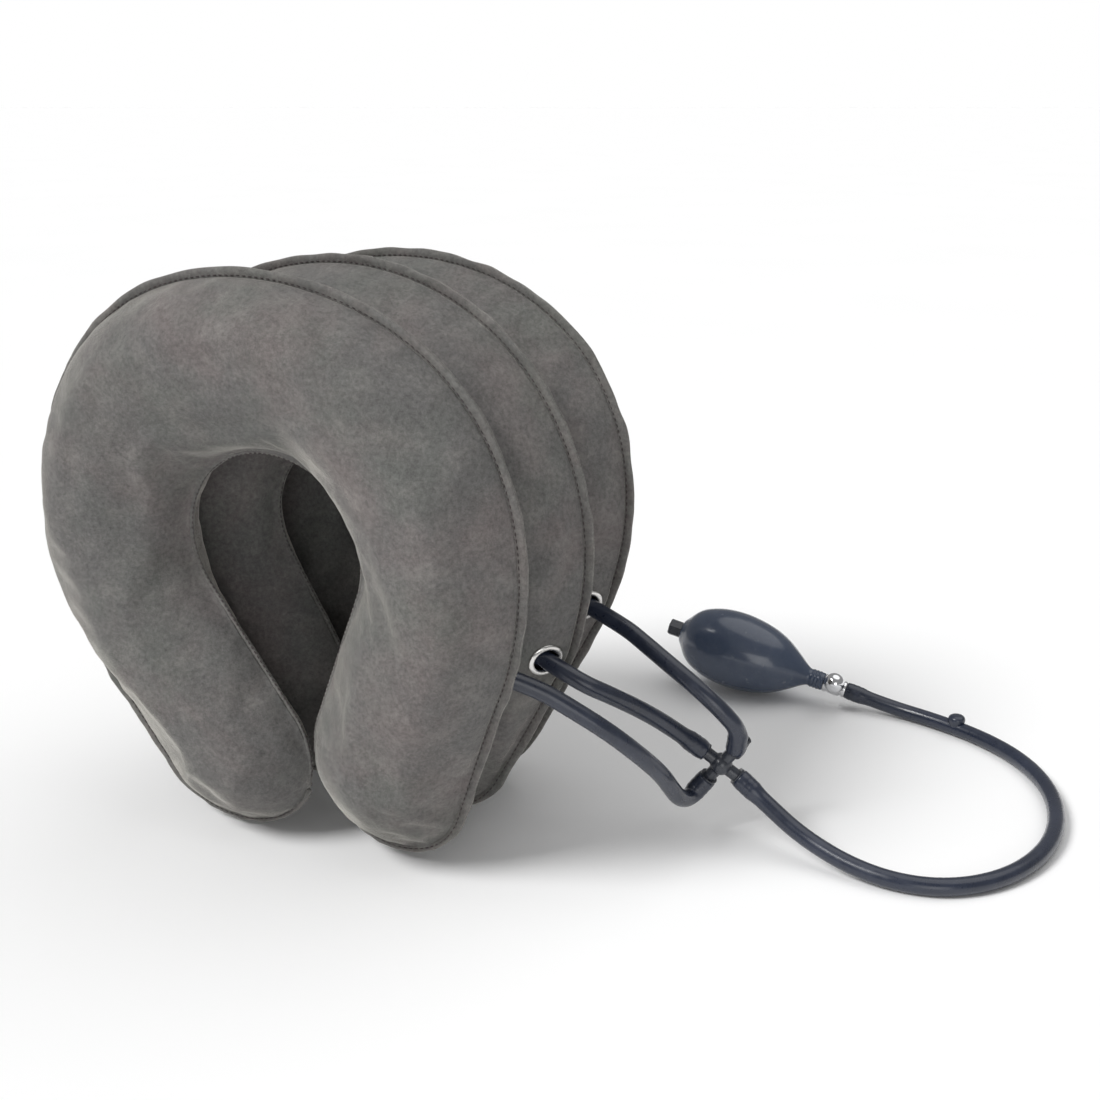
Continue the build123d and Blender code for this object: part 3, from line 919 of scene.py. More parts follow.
def lens_sheet(
    shape: TierShape, side: Side, stations: Stations, across: Array, inset: float = 0.0
) -> Array:
    """One face of an inflated tier.

    Across the band the face is a circular arc over the seam plane, `half_thickness` high. Round
    a tip the same arc turns about the centreline's end. Within a few millimetres of a seam the
    arc is drawn down to the seam's own thickness.

    Args:
        shape: the tier.
        side: its front or rear face.
        stations: places along the band.
        across: places across it, from -1 at the inner seam to 1 at the outer one.
        inset: how far inside the cushion's surface, in metres.

    Returns:
        Points, stations by across by three.
    """
    width = HALF_WIDTH - inset * 1.2
    share = ((across + 1) / 2)[None, :, None]
    offset = width * (stations.outer[:, None] * share + stations.inner[:, None] * (1 - share))
    plane = stations.base[:, None] + offset
    away = np.minimum(np.linalg.norm(offset, axis=-1), width)
    crest = shape.half_thickness(plane[..., 1], side) - inset
    radius = (width**2 + crest**2) / (2 * crest)
    height = np.sqrt(radius**2 - away**2) - (radius - crest)
    draw = 1 - np.exp(-(width - away) / 0.0018)
    floor = HALF_SEAM if inset == 0 else 0.0
    y = shape.seam_plane(plane[..., 1]) + side.value * (
        floor + (height - floor * away / width) * draw
    )
    return shape.settle(np.stack([plane[..., 0], y, plane[..., 1]], -1))


def sheet_normals(points: Array, side: Side) -> Array:
    """Unit normals of a grid of points, from the cross product of its two gradients.

    Args:
        points: rows by columns by three.
        side: the face; the normals point to that side of the tier.

    Returns:
        Normals, rows by columns by three.
    """
    normal = np.cross(np.gradient(points, axis=0), np.gradient(points, axis=1))
    normal /= np.maximum(np.linalg.norm(normal, axis=-1, keepdims=True), 1e-12)
    middle = normal[len(normal) // 2, normal.shape[1] // 2, 1]
    return normal * (1.0 if middle * side.value > 0 else -1.0)


@dataclass(frozen=True)
class EyeletSeat:
    """Where an eyelet sits on its cushion: the middle of its ring and the axis that it faces."""

    middle: Array
    axis: Array

    @classmethod
    def on(cls, shape: TierShape) -> "EyeletSeat":
        """Seat of a tier's eyelet, on the outer side of the band, leaning to its face.

        Args:
            shape: the tier.

        Returns:
            The seat.
        """
        lean, fall = EYELET_LEAN, math.radians(shape.eyelet_drop)
        radius = (HALF_WIDTH**2 + HALF_THICKNESS**2) / (2 * HALF_THICKNESS)
        outward = np.array([math.cos(fall), 0.0, -math.sin(fall)])
        axis = outward * math.cos(lean) + np.array(
            [0.0, shape.eyelet_side.value * math.sin(lean), 0.0]
        )
        depth = radius * math.sin(lean) - (radius - HALF_THICKNESS)
        foot = np.array([COLLAR_X, shape.seam_y + shape.eyelet_side.value * depth, RING_Z])
        return cls(shape.settle(foot + outward * (RING_RADIUS + radius * math.cos(lean))), axis)


@dataclass
class Tier:
    """One inflated tier: two velvet panels, two seams with their stitches, a bladder, an eyelet.

    shape: its sizes. finishes: what its pieces are dressed in. columns, rows: points along and
    across each panel. sink: how far the cloth is pressed in under the eyelet.
    """

    shape: TierShape
    finishes: Finishes
    columns: int = 230
    rows: int = 31
    sink: float = 0.0004

    def build(self) -> list[bpy.types.Object]:
        """Build and dress every piece of the tier.

        Returns:
            The pieces.
        """
        body = f"{self.shape.name}_tier"
        front, rear = self.inflate()
        pieces = [
            self.panel(Side.FRONT, front, body),
            self.panel(Side.REAR, rear, body),
            self.outer_seam(body),
            self.inner_seam(body),
            self.stitches(body, True),
            self.stitches(body, False),
            self.bladder(body),
            self.eyelet(body),
            self.washer(body),
            self.port(body),
        ]
        for piece in pieces:
            self.shape.squash_axis()
            self.shape.anchor()
            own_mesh(piece)
        return pieces

    def stations(self) -> Stations:
        """Stations of the panels, closer together round the tips."""
        return band_stations(np.linspace(-0.998, 0.998, self.columns))

    def across(self) -> Array:
        """Places across a panel: sines of even angles, so that the arc is divided evenly."""
        widest = math.asin(0.93)
        return np.sin(np.linspace(-widest, widest, self.rows)) / 0.93

    def inflate(self) -> tuple[Array, Array]:
        """Shape of the two faces, with the cloth's own swelling, creases and unevenness.

        Returns:
            Front and rear points, columns by rows by three.
        """
        stations, across = self.stations(), self.across()
        faces = []
        for side in Side:
            points = lens_sheet(self.shape, side, stations, across)
            faces.append(self.crease(points, stations, across, side))
        faces = self.simulate(faces)
        return tuple(self.press(points, side) for points, side in zip(faces, Side))

    def crease(self, points: Array, stations: Stations, across: Array, side: Side) -> Array:
        """Gathers at the seams and slow unevenness of the cloth.

        The gathers are waves along the band that die out exponentially away from a seam, and
        are deeper round the tips. The unevenness is smooth noise of two wavelengths.

        Args:
            points: the face.
            stations: places along the band.
            across: places across it.
            side: which face.

        Returns:
            The creased face.
        """
        seed = self.shape.seed + side.value
        normals = sheet_normals(points, side)
        away = HALF_WIDTH * (1 - np.abs(across))[None, :]
        wander = smooth_noise(points, 0.05, seed)
        waves = smooth_noise(points * np.array([1.0, 0.3, 1.0]), 0.011, seed + 10)
        tip = stations.tip[:, None]
        gather = (
            0.00022 + 0.0007 * np.sin(np.pi * np.clip(tip, 0, 1)) ** 2
        ) * waves * np.exp(-away / 0.006)
        slow = 0.0007 * wander * np.clip(away / 0.012, 0, 1)
        small = 0.00018 * smooth_noise(points, 0.02, seed + 20) * np.clip(away / 0.004, 0, 1)
        fade = np.clip(away / 0.0012, 0, 1)
        return points + normals * ((gather + slow + small) * fade)[..., None]

    def simulate(self, faces: list[Array]) -> list[Array]:
        """Inflate the joined cushion as cloth, held at its seams.

        The cloth is cut a little larger than the cushion, so that it gathers. How far a point
        moves is capped, and so is its distance from the seam plane.

        Args:
            faces: front and rear points.

        Returns:
            The inflated front and rear points.
        """
        columns, rows = self.columns, self.rows
        loop = np.concatenate([faces[0], faces[1][:, -2:0:-1]], axis=1)
        mesh = bpy.data.meshes.new("cushion_work")
        ring = loop.shape[1]
        quads = grid_faces(columns, ring, False, True)
        caps = [list(range(ring)), list(range((columns - 1) * ring, columns * ring))]
        mesh.from_pydata(loop.reshape(-1, 3).tolist(), [], quads.tolist() + caps)
        cushion = bpy.data.objects.new("cushion_work", mesh)
        scene = bpy.context.scene
        scene.collection.objects.link(cushion)
        held = cushion.vertex_groups.new(name="seams")
        index = np.arange(columns * ring).reshape(columns, ring)
        seam = np.concatenate(
            [index[:, 0], index[:, rows - 1], index[:2].ravel(), index[-2:].ravel()]
        )
        held.add(np.unique(seam).tolist(), 1.0, "REPLACE")
        cloth = cushion.modifiers.new("inflate", "CLOTH")
        settings = cloth.settings
        settings.quality = 4
        settings.mass = 0.3
        settings.tension_stiffness = 40.0
        settings.compression_stiffness = 40.0
        settings.shear_stiffness = 12.0
        settings.bending_stiffness = 0.4
        settings.tension_damping = 8.0
        settings.compression_damping = 8.0
        settings.use_pressure = True
        settings.uniform_pressure_force = 4.0
        settings.vertex_group_mass = "seams"
        settings.shrink_min = -0.012
        settings.effector_weights.gravity = 0.0
        cloth.collision_settings.use_collision = False
        cloth.point_cache.frame_start, cloth.point_cache.frame_end = 1, 20
        for frame in range(1, 21):
            scene.frame_set(frame)
        depsgraph = bpy.context.evaluated_depsgraph_get()
        blown = cushion.evaluated_get(depsgraph).to_mesh()
        moved = np.zeros(columns * ring * 3, np.float32)
        blown.vertices.foreach_get("co", moved)
        scene.frame_set(1)
        bpy.data.objects.remove(cushion)
        bpy.data.meshes.remove(mesh)
        step = moved.reshape(columns, ring, 3).astype(float) - loop
        size = np.linalg.norm(step, axis=-1, keepdims=True)
        log.info(
            "%s tier inflated: moved %.1f mm at most, %.2f mm on average",
            self.shape.name,
            size.max() * 1e3,
            size.mean() * 1e3,
        )
        step *= np.minimum(1.0, 0.0025 / np.maximum(size, 1e-9))
        loop = loop + step
        front = loop[:, :rows]
        rear = np.concatenate(
            [faces[1][:, :1], loop[:, ring - 1 : rows - 1 : -1], faces[1][:, -1:]], axis=1
        )
        return [self.limit(front, Side.FRONT), self.limit(rear, Side.REAR)]

    def limit(self, points: Array, side: Side) -> Array:
        """Keep a face within its half thickness of the seam plane, so that tiers only touch.

        Args:
            points: the face.
            side: which face.

        Returns:
            The limited face.
        """
        plane = self.shape.seam_plane(points[..., 2])
        reach = self.shape.half_thickness(points[..., 2], side)
        out = (points[..., 1] - plane) * side.value
        over = np.maximum(out - reach + 0.002, 0)
        eased = np.where(over > 0, out - over + 0.002 * (1 - np.exp(-over / 0.002)), out)
        points = points.copy()
        points[..., 1] = plane + side.value * eased
        return points

    def press(self, points: Array, side: Side) -> Array:
        """Press the cloth flat under the eyelet and open its hole.

        Points within the flange are moved onto the seat's plane and those further out ease back
        to the cushion. Points near the hole's edge are moved out to the barrel's radius.

        Args:
            points: the face.
            side: which face.

        Returns:
            The pressed face.
        """
        if side is not self.shape.eyelet_side:
            return points
        seat = EyeletSeat.on(self.shape)
        offset = points - seat.middle
        depth = offset @ seat.axis
        flat = offset - depth[..., None] * seat.axis
        radius = np.linalg.norm(flat, axis=-1)
        near = (radius < 0.03) & (np.abs(depth) < 0.02)
        ease = np.clip((radius - 0.0095) / 0.009, 0, 1)
        ease = ease * ease * (3 - 2 * ease)
        target = np.where(near, depth * ease - self.sink * (1 - ease), depth)
        widened = np.where(near & (radius > 0.0046) & (radius < 0.0086), 0.0073, radius)
        flat = flat * (widened / np.maximum(radius, 1e-9))[..., None]
        return seat.middle + flat + target[..., None] * seat.axis

    def panel(self, side: Side, points: Array, body: str) -> bpy.types.Object:
        """One velvet panel: the face, given the cloth's thickness inwards.

        Args:
            side: which face.
            points: its surface.
            body: the body that carries it.

        Returns:
            The panel.
        """
        name = self.shape.name
        facing = "front" if side is Side.FRONT else "rear"
        faces = grid_faces(self.columns, self.rows)
        if side is Side.FRONT:
            faces = faces[:, ::-1]
        corners = points.reshape(-1, 3)
        if side is self.shape.eyelet_side:
            seat = EyeletSeat.on(self.shape)
            offset = corners - seat.middle
            depth = offset @ seat.axis
            radius = np.linalg.norm(offset - depth[:, None] * seat.axis, axis=1)
            inside = (radius < 0.0070) & (np.abs(depth) < 0.02)
            faces = faces[~inside[faces].any(axis=1)]
        normal = np.cross(
            corners[faces[:, 1]] - corners[faces[:, 0]], corners[faces[:, 2]] - corners[faces[:, 0]]
        )
        if normal[:, 1].sum() * side.value < 0:
            faces = faces[:, ::-1]
        piece = make_piece(f"{name}_{facing}_velvet", points, faces, turn_out=False)
        wall = piece.modifiers.new("thickness", "SOLIDIFY")
        wall.thickness, wall.offset = 0.0011, -1.0
        fine = piece.modifiers.new("smooth", "SUBSURF")
        fine.levels = fine.render_levels = 1
        place(piece, self.finishes.velvet, body, (f"{name}_tier_{facing}_panel",))
        return piece

    def rim(self, places: Array, outer: bool) -> tuple[Array, Array]:
        """Points of a seam line and the directions in which it stands proud.

        Args:
            places: places along the band, as in band_stations.
            outer: the outer seam, or else the inner one.

        Returns:
            Points on the seam and unit directions away from the cushion, with y on the plane.
        """
        stations = band_stations(places)
        way = stations.outer if outer else stations.inner
        plane = stations.base + HALF_WIDTH * way
        points = self.shape.settle(
            np.stack([plane[:, 0], self.shape.seam_plane(plane[:, 1]), plane[:, 1]], -1)
        )
        lean = np.stack([way[:, 0], self.shape.lean * way[:, 1], way[:, 1]], -1)
        return points, lean

    def seam(self, name: str, outer: bool, profile: Array, wave: float) -> bpy.types.Object:
        """Seam: a closed profile carried along the seam line, wavering from side to side.

        Args:
            name: the piece's name.
            outer: the outer seam, or else the inner one.
            profile: distance proud of the seam line and half across it, as a closed loop.
            wave: how far it wavers, in metres.

        Returns:
            The seam, closed to a point at both ends.
        """
        places = np.linspace(-1.0, 1.0, 620 if outer else 420)
        points, lean = self.rim(places, outer)
        seed = self.shape.seed + (3 if outer else 7)
        tip = band_stations(places).tip
        waver = wave * (
            smooth_noise(points, 0.035, seed) + 0.7 * smooth_noise(
                points, 0.012, seed + 1
            ) * (0.35 + 1.3 * tip)
        )
        swell = 1 + 0.13 * smooth_noise(
            points, 0.009, seed + 2
        ) + 0.15 * tip * smooth_noise(points, 0.006, seed + 4)
        proud = 1 + 0.10 * smooth_noise(
            points, 0.022, seed + 5
        ) + 0.12 * tip * smooth_noise(points, 0.008, seed + 6)
        proud = proud * (1 - 0.45 * np.clip(tip / 0.25, 0, 1))
        close = np.sqrt(
            np.clip(1 - (np.abs(places[:, None]) - 0.985) / 0.015, 0, 1)
        ) * np.ones(len(profile))
        out = np.where(profile[:, 0] > 0, profile[:, 0] * proud[:, None], profile[:, 0])
        share = np.clip(profile[:, 0] / np.abs(profile[:, 0]).max(), 0, 1)
        side = profile[:, 1] * swell[:, None] * close + waver[:, None] * share
        surface = points[:, None] + out[..., None] * lean[:, None]
        surface[..., 1] += side
        surface[..., 2] = np.maximum(surface[..., 2], 0.00002)
        return make_tube(name, surface)

    def outer_seam(self, body: str) -> bpy.types.Object:
        """Outer seam: two turned cloth edges side by side, with a groove between them.

        Args:
            body: the body that carries it.

        Returns:
            The seam.
        """
        half = np.array(
            [
                (-1.0, 0.9), (-0.1, 0.95), (0.6, 1.0), (1.3, 1.3), (2.4, 1.4), (3.3, 1.2),
                (3.8, 0.8), (3.85, 0.45), (3.45, 0.08),
            ]
        )
        loop = np.vstack([half, half[::-1] * np.array([1, -1])]) * 1e-3
        piece = self.seam(f"{self.shape.name}_outer_edge", True, loop, 0.0006)
        return place(
            piece, self.finishes.seam, body, (f"{self.shape.name}_tier_outer_seam",)
        )

    def inner_seam(self, body: str) -> bpy.types.Object:
        """Inner seam: a narrow turned bead around the neck opening.

        Args:
            body: the body that carries it.

        Returns:
            The seam.
        """
        half = np.array([(-1.2, 0.9), (-0.2, 1.0), (0.4, 0.95), (0.9, 0.7), (1.15, 0.3)])
        loop = np.vstack([half, half[::-1] * np.array([1, -1])]) * 1e-3
        piece = self.seam(f"{self.shape.name}_inner_edge", False, loop, 0.0002)
        return place(
            piece, self.finishes.seam, body, (f"{self.shape.name}_tier_inner_seam",)
        )

    def stitches(self, body: str, outer: bool) -> bpy.types.Object:
        """Row of short thread stitches beside a seam.

        Each stitch is a capsule: a circle whose radius follows the fourth root of one minus the
        fourth power of its place along the stitch.

        Args:
            body: the body that carries them.
            outer: beside the outer seam, on the front, or else along the neck opening.

        Returns:
            The stitches, as one piece.
        """
        fine = np.linspace(-0.96, 0.96, 4000)
        line, _ = self.rim(fine, outer)
        run = np.concatenate([[0.0], np.cumsum(np.linalg.norm(np.diff(line, axis=0), axis=1))])
        pitch = 0.0030 if outer else 0.0026
        count = int(run[-1] / pitch)
        at = np.interp(np.arange(count) * pitch, run, fine)
        middle, proud = self.rim(at, outer)
        along = unit(np.gradient(middle, axis=0))
        up = np.array([0.0, -1.0, 0.0])
        lift = 0.00118 if outer else 0.0006
        middle = middle + proud * (0.0004 if outer else 0.0009) + up * lift
        spin = np.linspace(0, 2 * np.pi, 6, endpoint=False)
        t = np.linspace(-1, 1, 5)
        thick = (1 - t**4) ** 0.25 * (0.00024 if outer else 0.0003)
        across = unit(np.cross(along, up))
        spoke = np.cos(spin)[
            None, None, :, None
        ] * across[:, None, None] + np.sin(spin)[None, None, :, None] * up
        length = pitch * (0.36 if outer else 0.33)
        points = middle[:, None, None] + along[:, None, None] * (
            t[:, None, None] * length
        ) + spoke * thick[None, :, None, None]
        one = grid_faces(len(t), len(spin), False, True)
        faces = (one[None] + (np.arange(count) * len(t) * len(spin))[:, None, None]).reshape(-1, 4)
        piece = make_piece(
            f"{self.shape.name}_{'outer' if outer else 'inner'}_stitches", points, faces
        )
        return place(piece, self.finishes.thread, body)

    def bladder(self, body: str) -> bpy.types.Object:
        """Air bladder inside the cushion: both faces of a thinner lens.

        Args:
            body: the body that carries it.

        Returns:
            The bladder.
        """
        stations, across = band_stations(np.linspace(-0.998, 0.998, 120)), self.across()[::2]
        faces = [lens_sheet(self.shape, side, stations, across, 0.008) for side in Side]
        loop = np.concatenate([faces[0], faces[1][:, -2:0:-1]], axis=1)
        piece = make_tube(f"{self.shape.name}_bladder_skin", loop)
        place(piece, self.finishes.bladder, body, (f"{self.shape.name}_air_bladder",))
        return piece

    def eyelet(self, body: str) -> bpy.types.Object:
        """Eyelet: a rolled flange on a barrel that flares behind the cloth, turned on a lathe.

        Args:
            body: the body that carries it.

        Returns:
            The eyelet.
        """
        seat = EyeletSeat.on(self.shape)
        profile = np.array(
            [
                (-0.4, 8.7), (-0.1, 8.8), (0.45, 8.45), (0.85, 7.7), (0.98, 6.9), (0.8, 6.3),
                (0.3, 5.9), (-0.6, 5.8), (-2.0, 5.8), (-2.3, 5.9), (-2.3, 6.4), (-2.0, 6.6),
                (-0.7, 6.65), (-0.42, 6.9),
            ]
        ) * 1e-3
        smooth = smooth_curve(np.vstack([profile, profile[:1]]), 4)[:-1]
        piece = lathe(
            f"{self.shape.name}_eyelet_ring", smooth, seat.middle, seat.axis, 72, ring=True
        )
        return place(piece, self.finishes.nickel, body, (f"{self.shape.name}_eyelet",))

    def washer(self, body: str) -> bpy.types.Object:
        """Washer behind the cloth: a thin ring with rounded edges.

        Args:
            body: the body that carries it.

        Returns:
            The washer.
        """
        seat = EyeletSeat.on(self.shape)
        profile = np.array(
            [(-1.7, 6.7), (-1.65, 7.9), (-1.8, 8.2), (-2.2, 8.2), (-2.3, 7.9), (-2.3, 6.7)]
        ) * 1e-3
        piece = lathe(
            f"{self.shape.name}_washer_ring", profile, seat.middle, seat.axis, 48, ring=True
        )
        return place(
            piece, self.finishes.nickel, body, (f"{self.shape.name}_eyelet_washer",)
        )

    def port(self, body: str) -> bpy.types.Object:
        """Stub of the bladder behind the eyelet, which the hose is pushed against.

        Args:
            body: the body that carries it.

        Returns:
            The port.
        """
        start, way = hose_seat(self.shape)
        outline = np.array(
            [(-5.5, 2.2), (-5.5, 3.7), (-4.0, 4.4), (-1.2, 4.4), (-0.2, 3.9), (-0.1, 0.0)]
        ) * 1e-3
        piece = lathe(f"{self.shape.name}_port_stub", soften(outline, 0.0004), start, way, 48)
        return place(
            piece, self.finishes.bladder, body, (f"{self.shape.name}_bladder_port",)
        )


@dataclass
class JoiningBands:
    """Strips that bond the middle tier to its neighbours, lying along the cushions' crests."""

    middle: TierShape
    finishes: Finishes
    half_width: float = 0.010

    def build(self) -> list[bpy.types.Object]:
        """Build both strips: a thin closed loop carried along the crest, filling the gap.

        Returns:
            The strips.
        """
        made = []
        for side, name in ((Side.FRONT, "front"), (Side.REAR, "rear")):
            stations = band_stations(np.linspace(-0.86, 0.86, 160))
            across = np.linspace(-1, 1, 9) * self.half_width / HALF_WIDTH
            low = lens_sheet(self.middle, side, stations, across)
            high = low.copy()
            reach = self.middle.half_thickness(low[..., 2], side)
            high[..., 1] = self.middle.seam_plane(low[..., 2]) + side.value * (reach + 0.0004)
            low[..., 1] -= side.value * 0.0003
            loop = np.concatenate([high, low[:, ::-1]], axis=1)
            piece = make_tube(f"{name}_bond_strip", loop)
            place(piece, self.finishes.seam, "middle_tier", (f"{name}_joining_band",))
            self.middle.squash_axis()
            self.middle.anchor()
            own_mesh(piece)
            made.append(piece)
        return made


# ---------------------------------------------------------------- hoses


@dataclass(frozen=True)
class HoseRoute:
    """Route of one hose.

    name: its name, also the CAD node's without _hose. points: control points in metres.
    near, far: whether that end is pushed over a barbed arm. far_end: what the hose ends in; not
    used.
    """

    name: str
    points: tuple[Point, ...]
    near: bool
    far: bool
    far_end: str


@dataclass
class Hoses:
    """The three branch hoses and the main hose."""

    routes: tuple[HoseRoute, ...]
    finishes: Finishes
    stretch: float = 0.17

    def build(self) -> list[bpy.types.Object]:
        """Build every hose.

        Returns:
            The hoses.
        """
        return [self.hose(route) for route in self.routes]

    def centreline(self, route: HoseRoute) -> Array:
        """Even points along the NURBS line whose control points are the route's.

        Args:
            route: the hose's route.

        Returns:
            Points about 1 mm apart.
        """
        curve = bpy.data.curves.new(f"{route.name}_line", "CURVE")
        curve.dimensions = "3D"
        spline = curve.splines.new("NURBS")
        spline.points.add(len(route.points) - 1)
        spline.points.foreach_set(
            "co", np.hstack([np.array(route.points), np.ones((len(route.points), 1))]).ravel()
        )
        spline.order_u = 3
        spline.use_endpoint_u = True
        spline.resolution_u = 24
        line = bpy.data.objects.new(f"{route.name}_line", curve)
        bpy.context.scene.collection.objects.link(line)
        bpy.context.view_layer.update()
        mesh = bpy.data.meshes.new_from_object(line)
        points = np.zeros(len(mesh.vertices) * 3, np.float32)
        mesh.vertices.foreach_get("co", points)
        points = points.reshape(-1, 3).astype(float)
        bpy.data.objects.remove(line)
        bpy.data.curves.remove(curve)
        bpy.data.meshes.remove(mesh)
        run = np.concatenate([[0.0], np.cumsum(np.linalg.norm(np.diff(points, axis=0), axis=1))])
        even = np.linspace(0, run[-1], max(40, int(run[-1] / 0.001)))
        return np.stack([np.interp(even, run, points[:, i]) for i in range(3)], -1)

    def radius(self, route: HoseRoute, run: Array) -> Array:
        """Radius along a hose: even, but stretched over the barbs of the arms it is pushed onto.

        Over a barbed arm the hose is `stretch` wider for 9 mm, easing off over 4 mm, with a
        low ring over each of its three ridges.

        Args:
            route: the hose's route.
            run: distance from its start.

        Returns:
            The radii.
        """
        radius = np.full(len(run), HOSE_DIAMETER / 2)
        for wanted, distance in ((route.near, run), (route.far, run[-1] - run)):
            if wanted:
                ease = 1 / (1 + np.exp((distance - 0.0115) / 0.0011))
                rings = sum(
                    np.exp(-(((distance - ridge) / 0.0007) ** 2)) for ridge in (0.003, 0.006, 0.009)
                )
                radius *= 1 + self.stretch * ease + 0.035 * rings
                radius *= 1 - 0.05 * np.exp(-distance / 0.0006)
        return radius

    def hose(self, route: HoseRoute) -> bpy.types.Object:
        """One hose: a tube along its centreline with closed ends.

        Args:
            route: its route.

        Returns:
            The hose.
        """
        centre = self.centreline(route)
        run = np.concatenate([[0.0], np.cumsum(np.linalg.norm(np.diff(centre, axis=0), axis=1))])
        tube = tube_points(centre, self.radius(route, run), 32)
        piece = make_tube(f"{route.name}_rubber_hose", tube)
        node = f"{route.name}_hose"
        dress(piece, self.finishes.hose)
        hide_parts(node)
        if route.name in ("front", "rear"):
            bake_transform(piece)
        else:
            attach(piece, "middle_tier")
        log.info("%s: %.0f mm long", piece.name, run[-1] * 1e3)
        return piece


@dataclass
class HoseFittings:
    """The four-way connector and the nub on the main hose."""

    finishes: Finishes
    frame: dict[str, object]

    def build(self) -> list[bpy.types.Object]:
        """Dress the connector and turn the nub.

        Returns:
            The pieces.
        """
        connector = dress(self.frame["nodes"]["cross_connector"], self.finishes.plastic)
        low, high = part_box("hose_nub")
        foot = np.array([0.2335, 0.1210, low.z])
        rise = high.z - low.z
        outline = np.array(
            [
                (0.0, 0.0), (0.0, 3.6), (3.0, 4.2), (4.4, 4.6), (5.6, 4.75), (7.0, 4.35),
                (7.9, 3.2), (8.25, 1.6), (8.3, 0.0),
            ]
        ) * 1e-3
        outline[:, 0] *= rise / outline[-1, 0]
        nub = lathe(
            "hose_nub_cap", smooth_curve(outline[1:], 6), foot, np.array([0.0, 0.0, 1.0]), 48
        )
        place(nub, self.finishes.hose, "middle_tier", ("hose_nub",))
        return [connector, nub]


# ---------------------------------------------------------------- squeeze bulb and valves


@dataclass
class SqueezeBulb:
    """The bulb, with the inlet valve at its blunt end."""

    finishes: Finishes
    frame: dict[str, object]
    half_length: float = 0.041
    radius: float = 0.0233

    def outline(self) -> Array:
        """Outer outline: blunt at the inlet, widest before the middle, tapering to a ribbed neck.

        Returns:
            Distance along the axis and radius.
        """
        share = np.array(
            [
                (-0.985, 0.30), (-0.93, 0.42), (-0.83, 0.64), (-0.7, 0.8), (-0.47, 0.94),
                (-0.2, 1.0), (0.08, 0.975), (0.35, 0.88), (0.58, 0.72), (0.78, 0.50), (0.92, 0.32),
            ]
        )
        body = share * np.array([self.half_length, self.radius])
        neck = np.array(
            [
                (41.3, 5.35), (43.0, 5.3), (43.9, 5.65), (44.8, 5.3), (45.9, 5.65), (46.8, 5.3),
                (47.9, 5.65), (48.8, 5.3), (50.2, 5.4), (50.9, 5.1),
            ]
        ) * 1e-3
        return smooth_curve(np.vstack([[-self.half_length, 0.0053], body, neck]), 6)

    def build(self) -> list[bpy.types.Object]:
        """Build the bulb and dress the inlet valve.

        Returns:
            The pieces.
        """
        outer = self.outline()
        inner = outer[
            (outer[:, 0] > -0.0385) & (outer[:, 0] < 0.041)
        ][::-1] - np.array([0.0, 0.0022])
        start, end = np.array([[-0.041, 0.00352]]), np.array([[0.0509, 0.00352], [0.042, 0.00352]])
        loop = np.vstack([outer, end, inner, np.array([[-0.0388, 0.00352]]), start])
        points = lathe_points(loop, BULB_CENTRE, BULB_AXIS, 128)
        turn = np.linspace(0, 2 * np.pi, 128, endpoint=False)
        line = np.exp(-((np.sin(turn) / 0.018) ** 2))
        high = np.clip(1 - ((loop[:, 0] + 0.001) / 0.039) ** 2, 0, 1) * (loop[:, 1] > 0.006)
        spoke = unit(points - (BULB_CENTRE + loop[:, None, :1] * BULB_AXIS))
        points = points + spoke * (line[None, :] * high[:, None] * 0.00018)[..., None]
        bulb = make_piece("bulb_rubber_body", points, grid_faces(len(loop), 128, True, True))
        place(bulb, self.finishes.bulb, "middle_tier", ("squeeze_bulb",))
        made = [bulb]
        for node, finish in (
            ("inlet_valve_body", self.finishes.plastic),
            ("inlet_filter", self.finishes.plastic),
            ("inlet_disc_retainer", self.finishes.plastic),
            ("inlet_check_disc", self.finishes.disc),
        ):
            made.append(dress(self.frame["nodes"][node], finish))
        return made


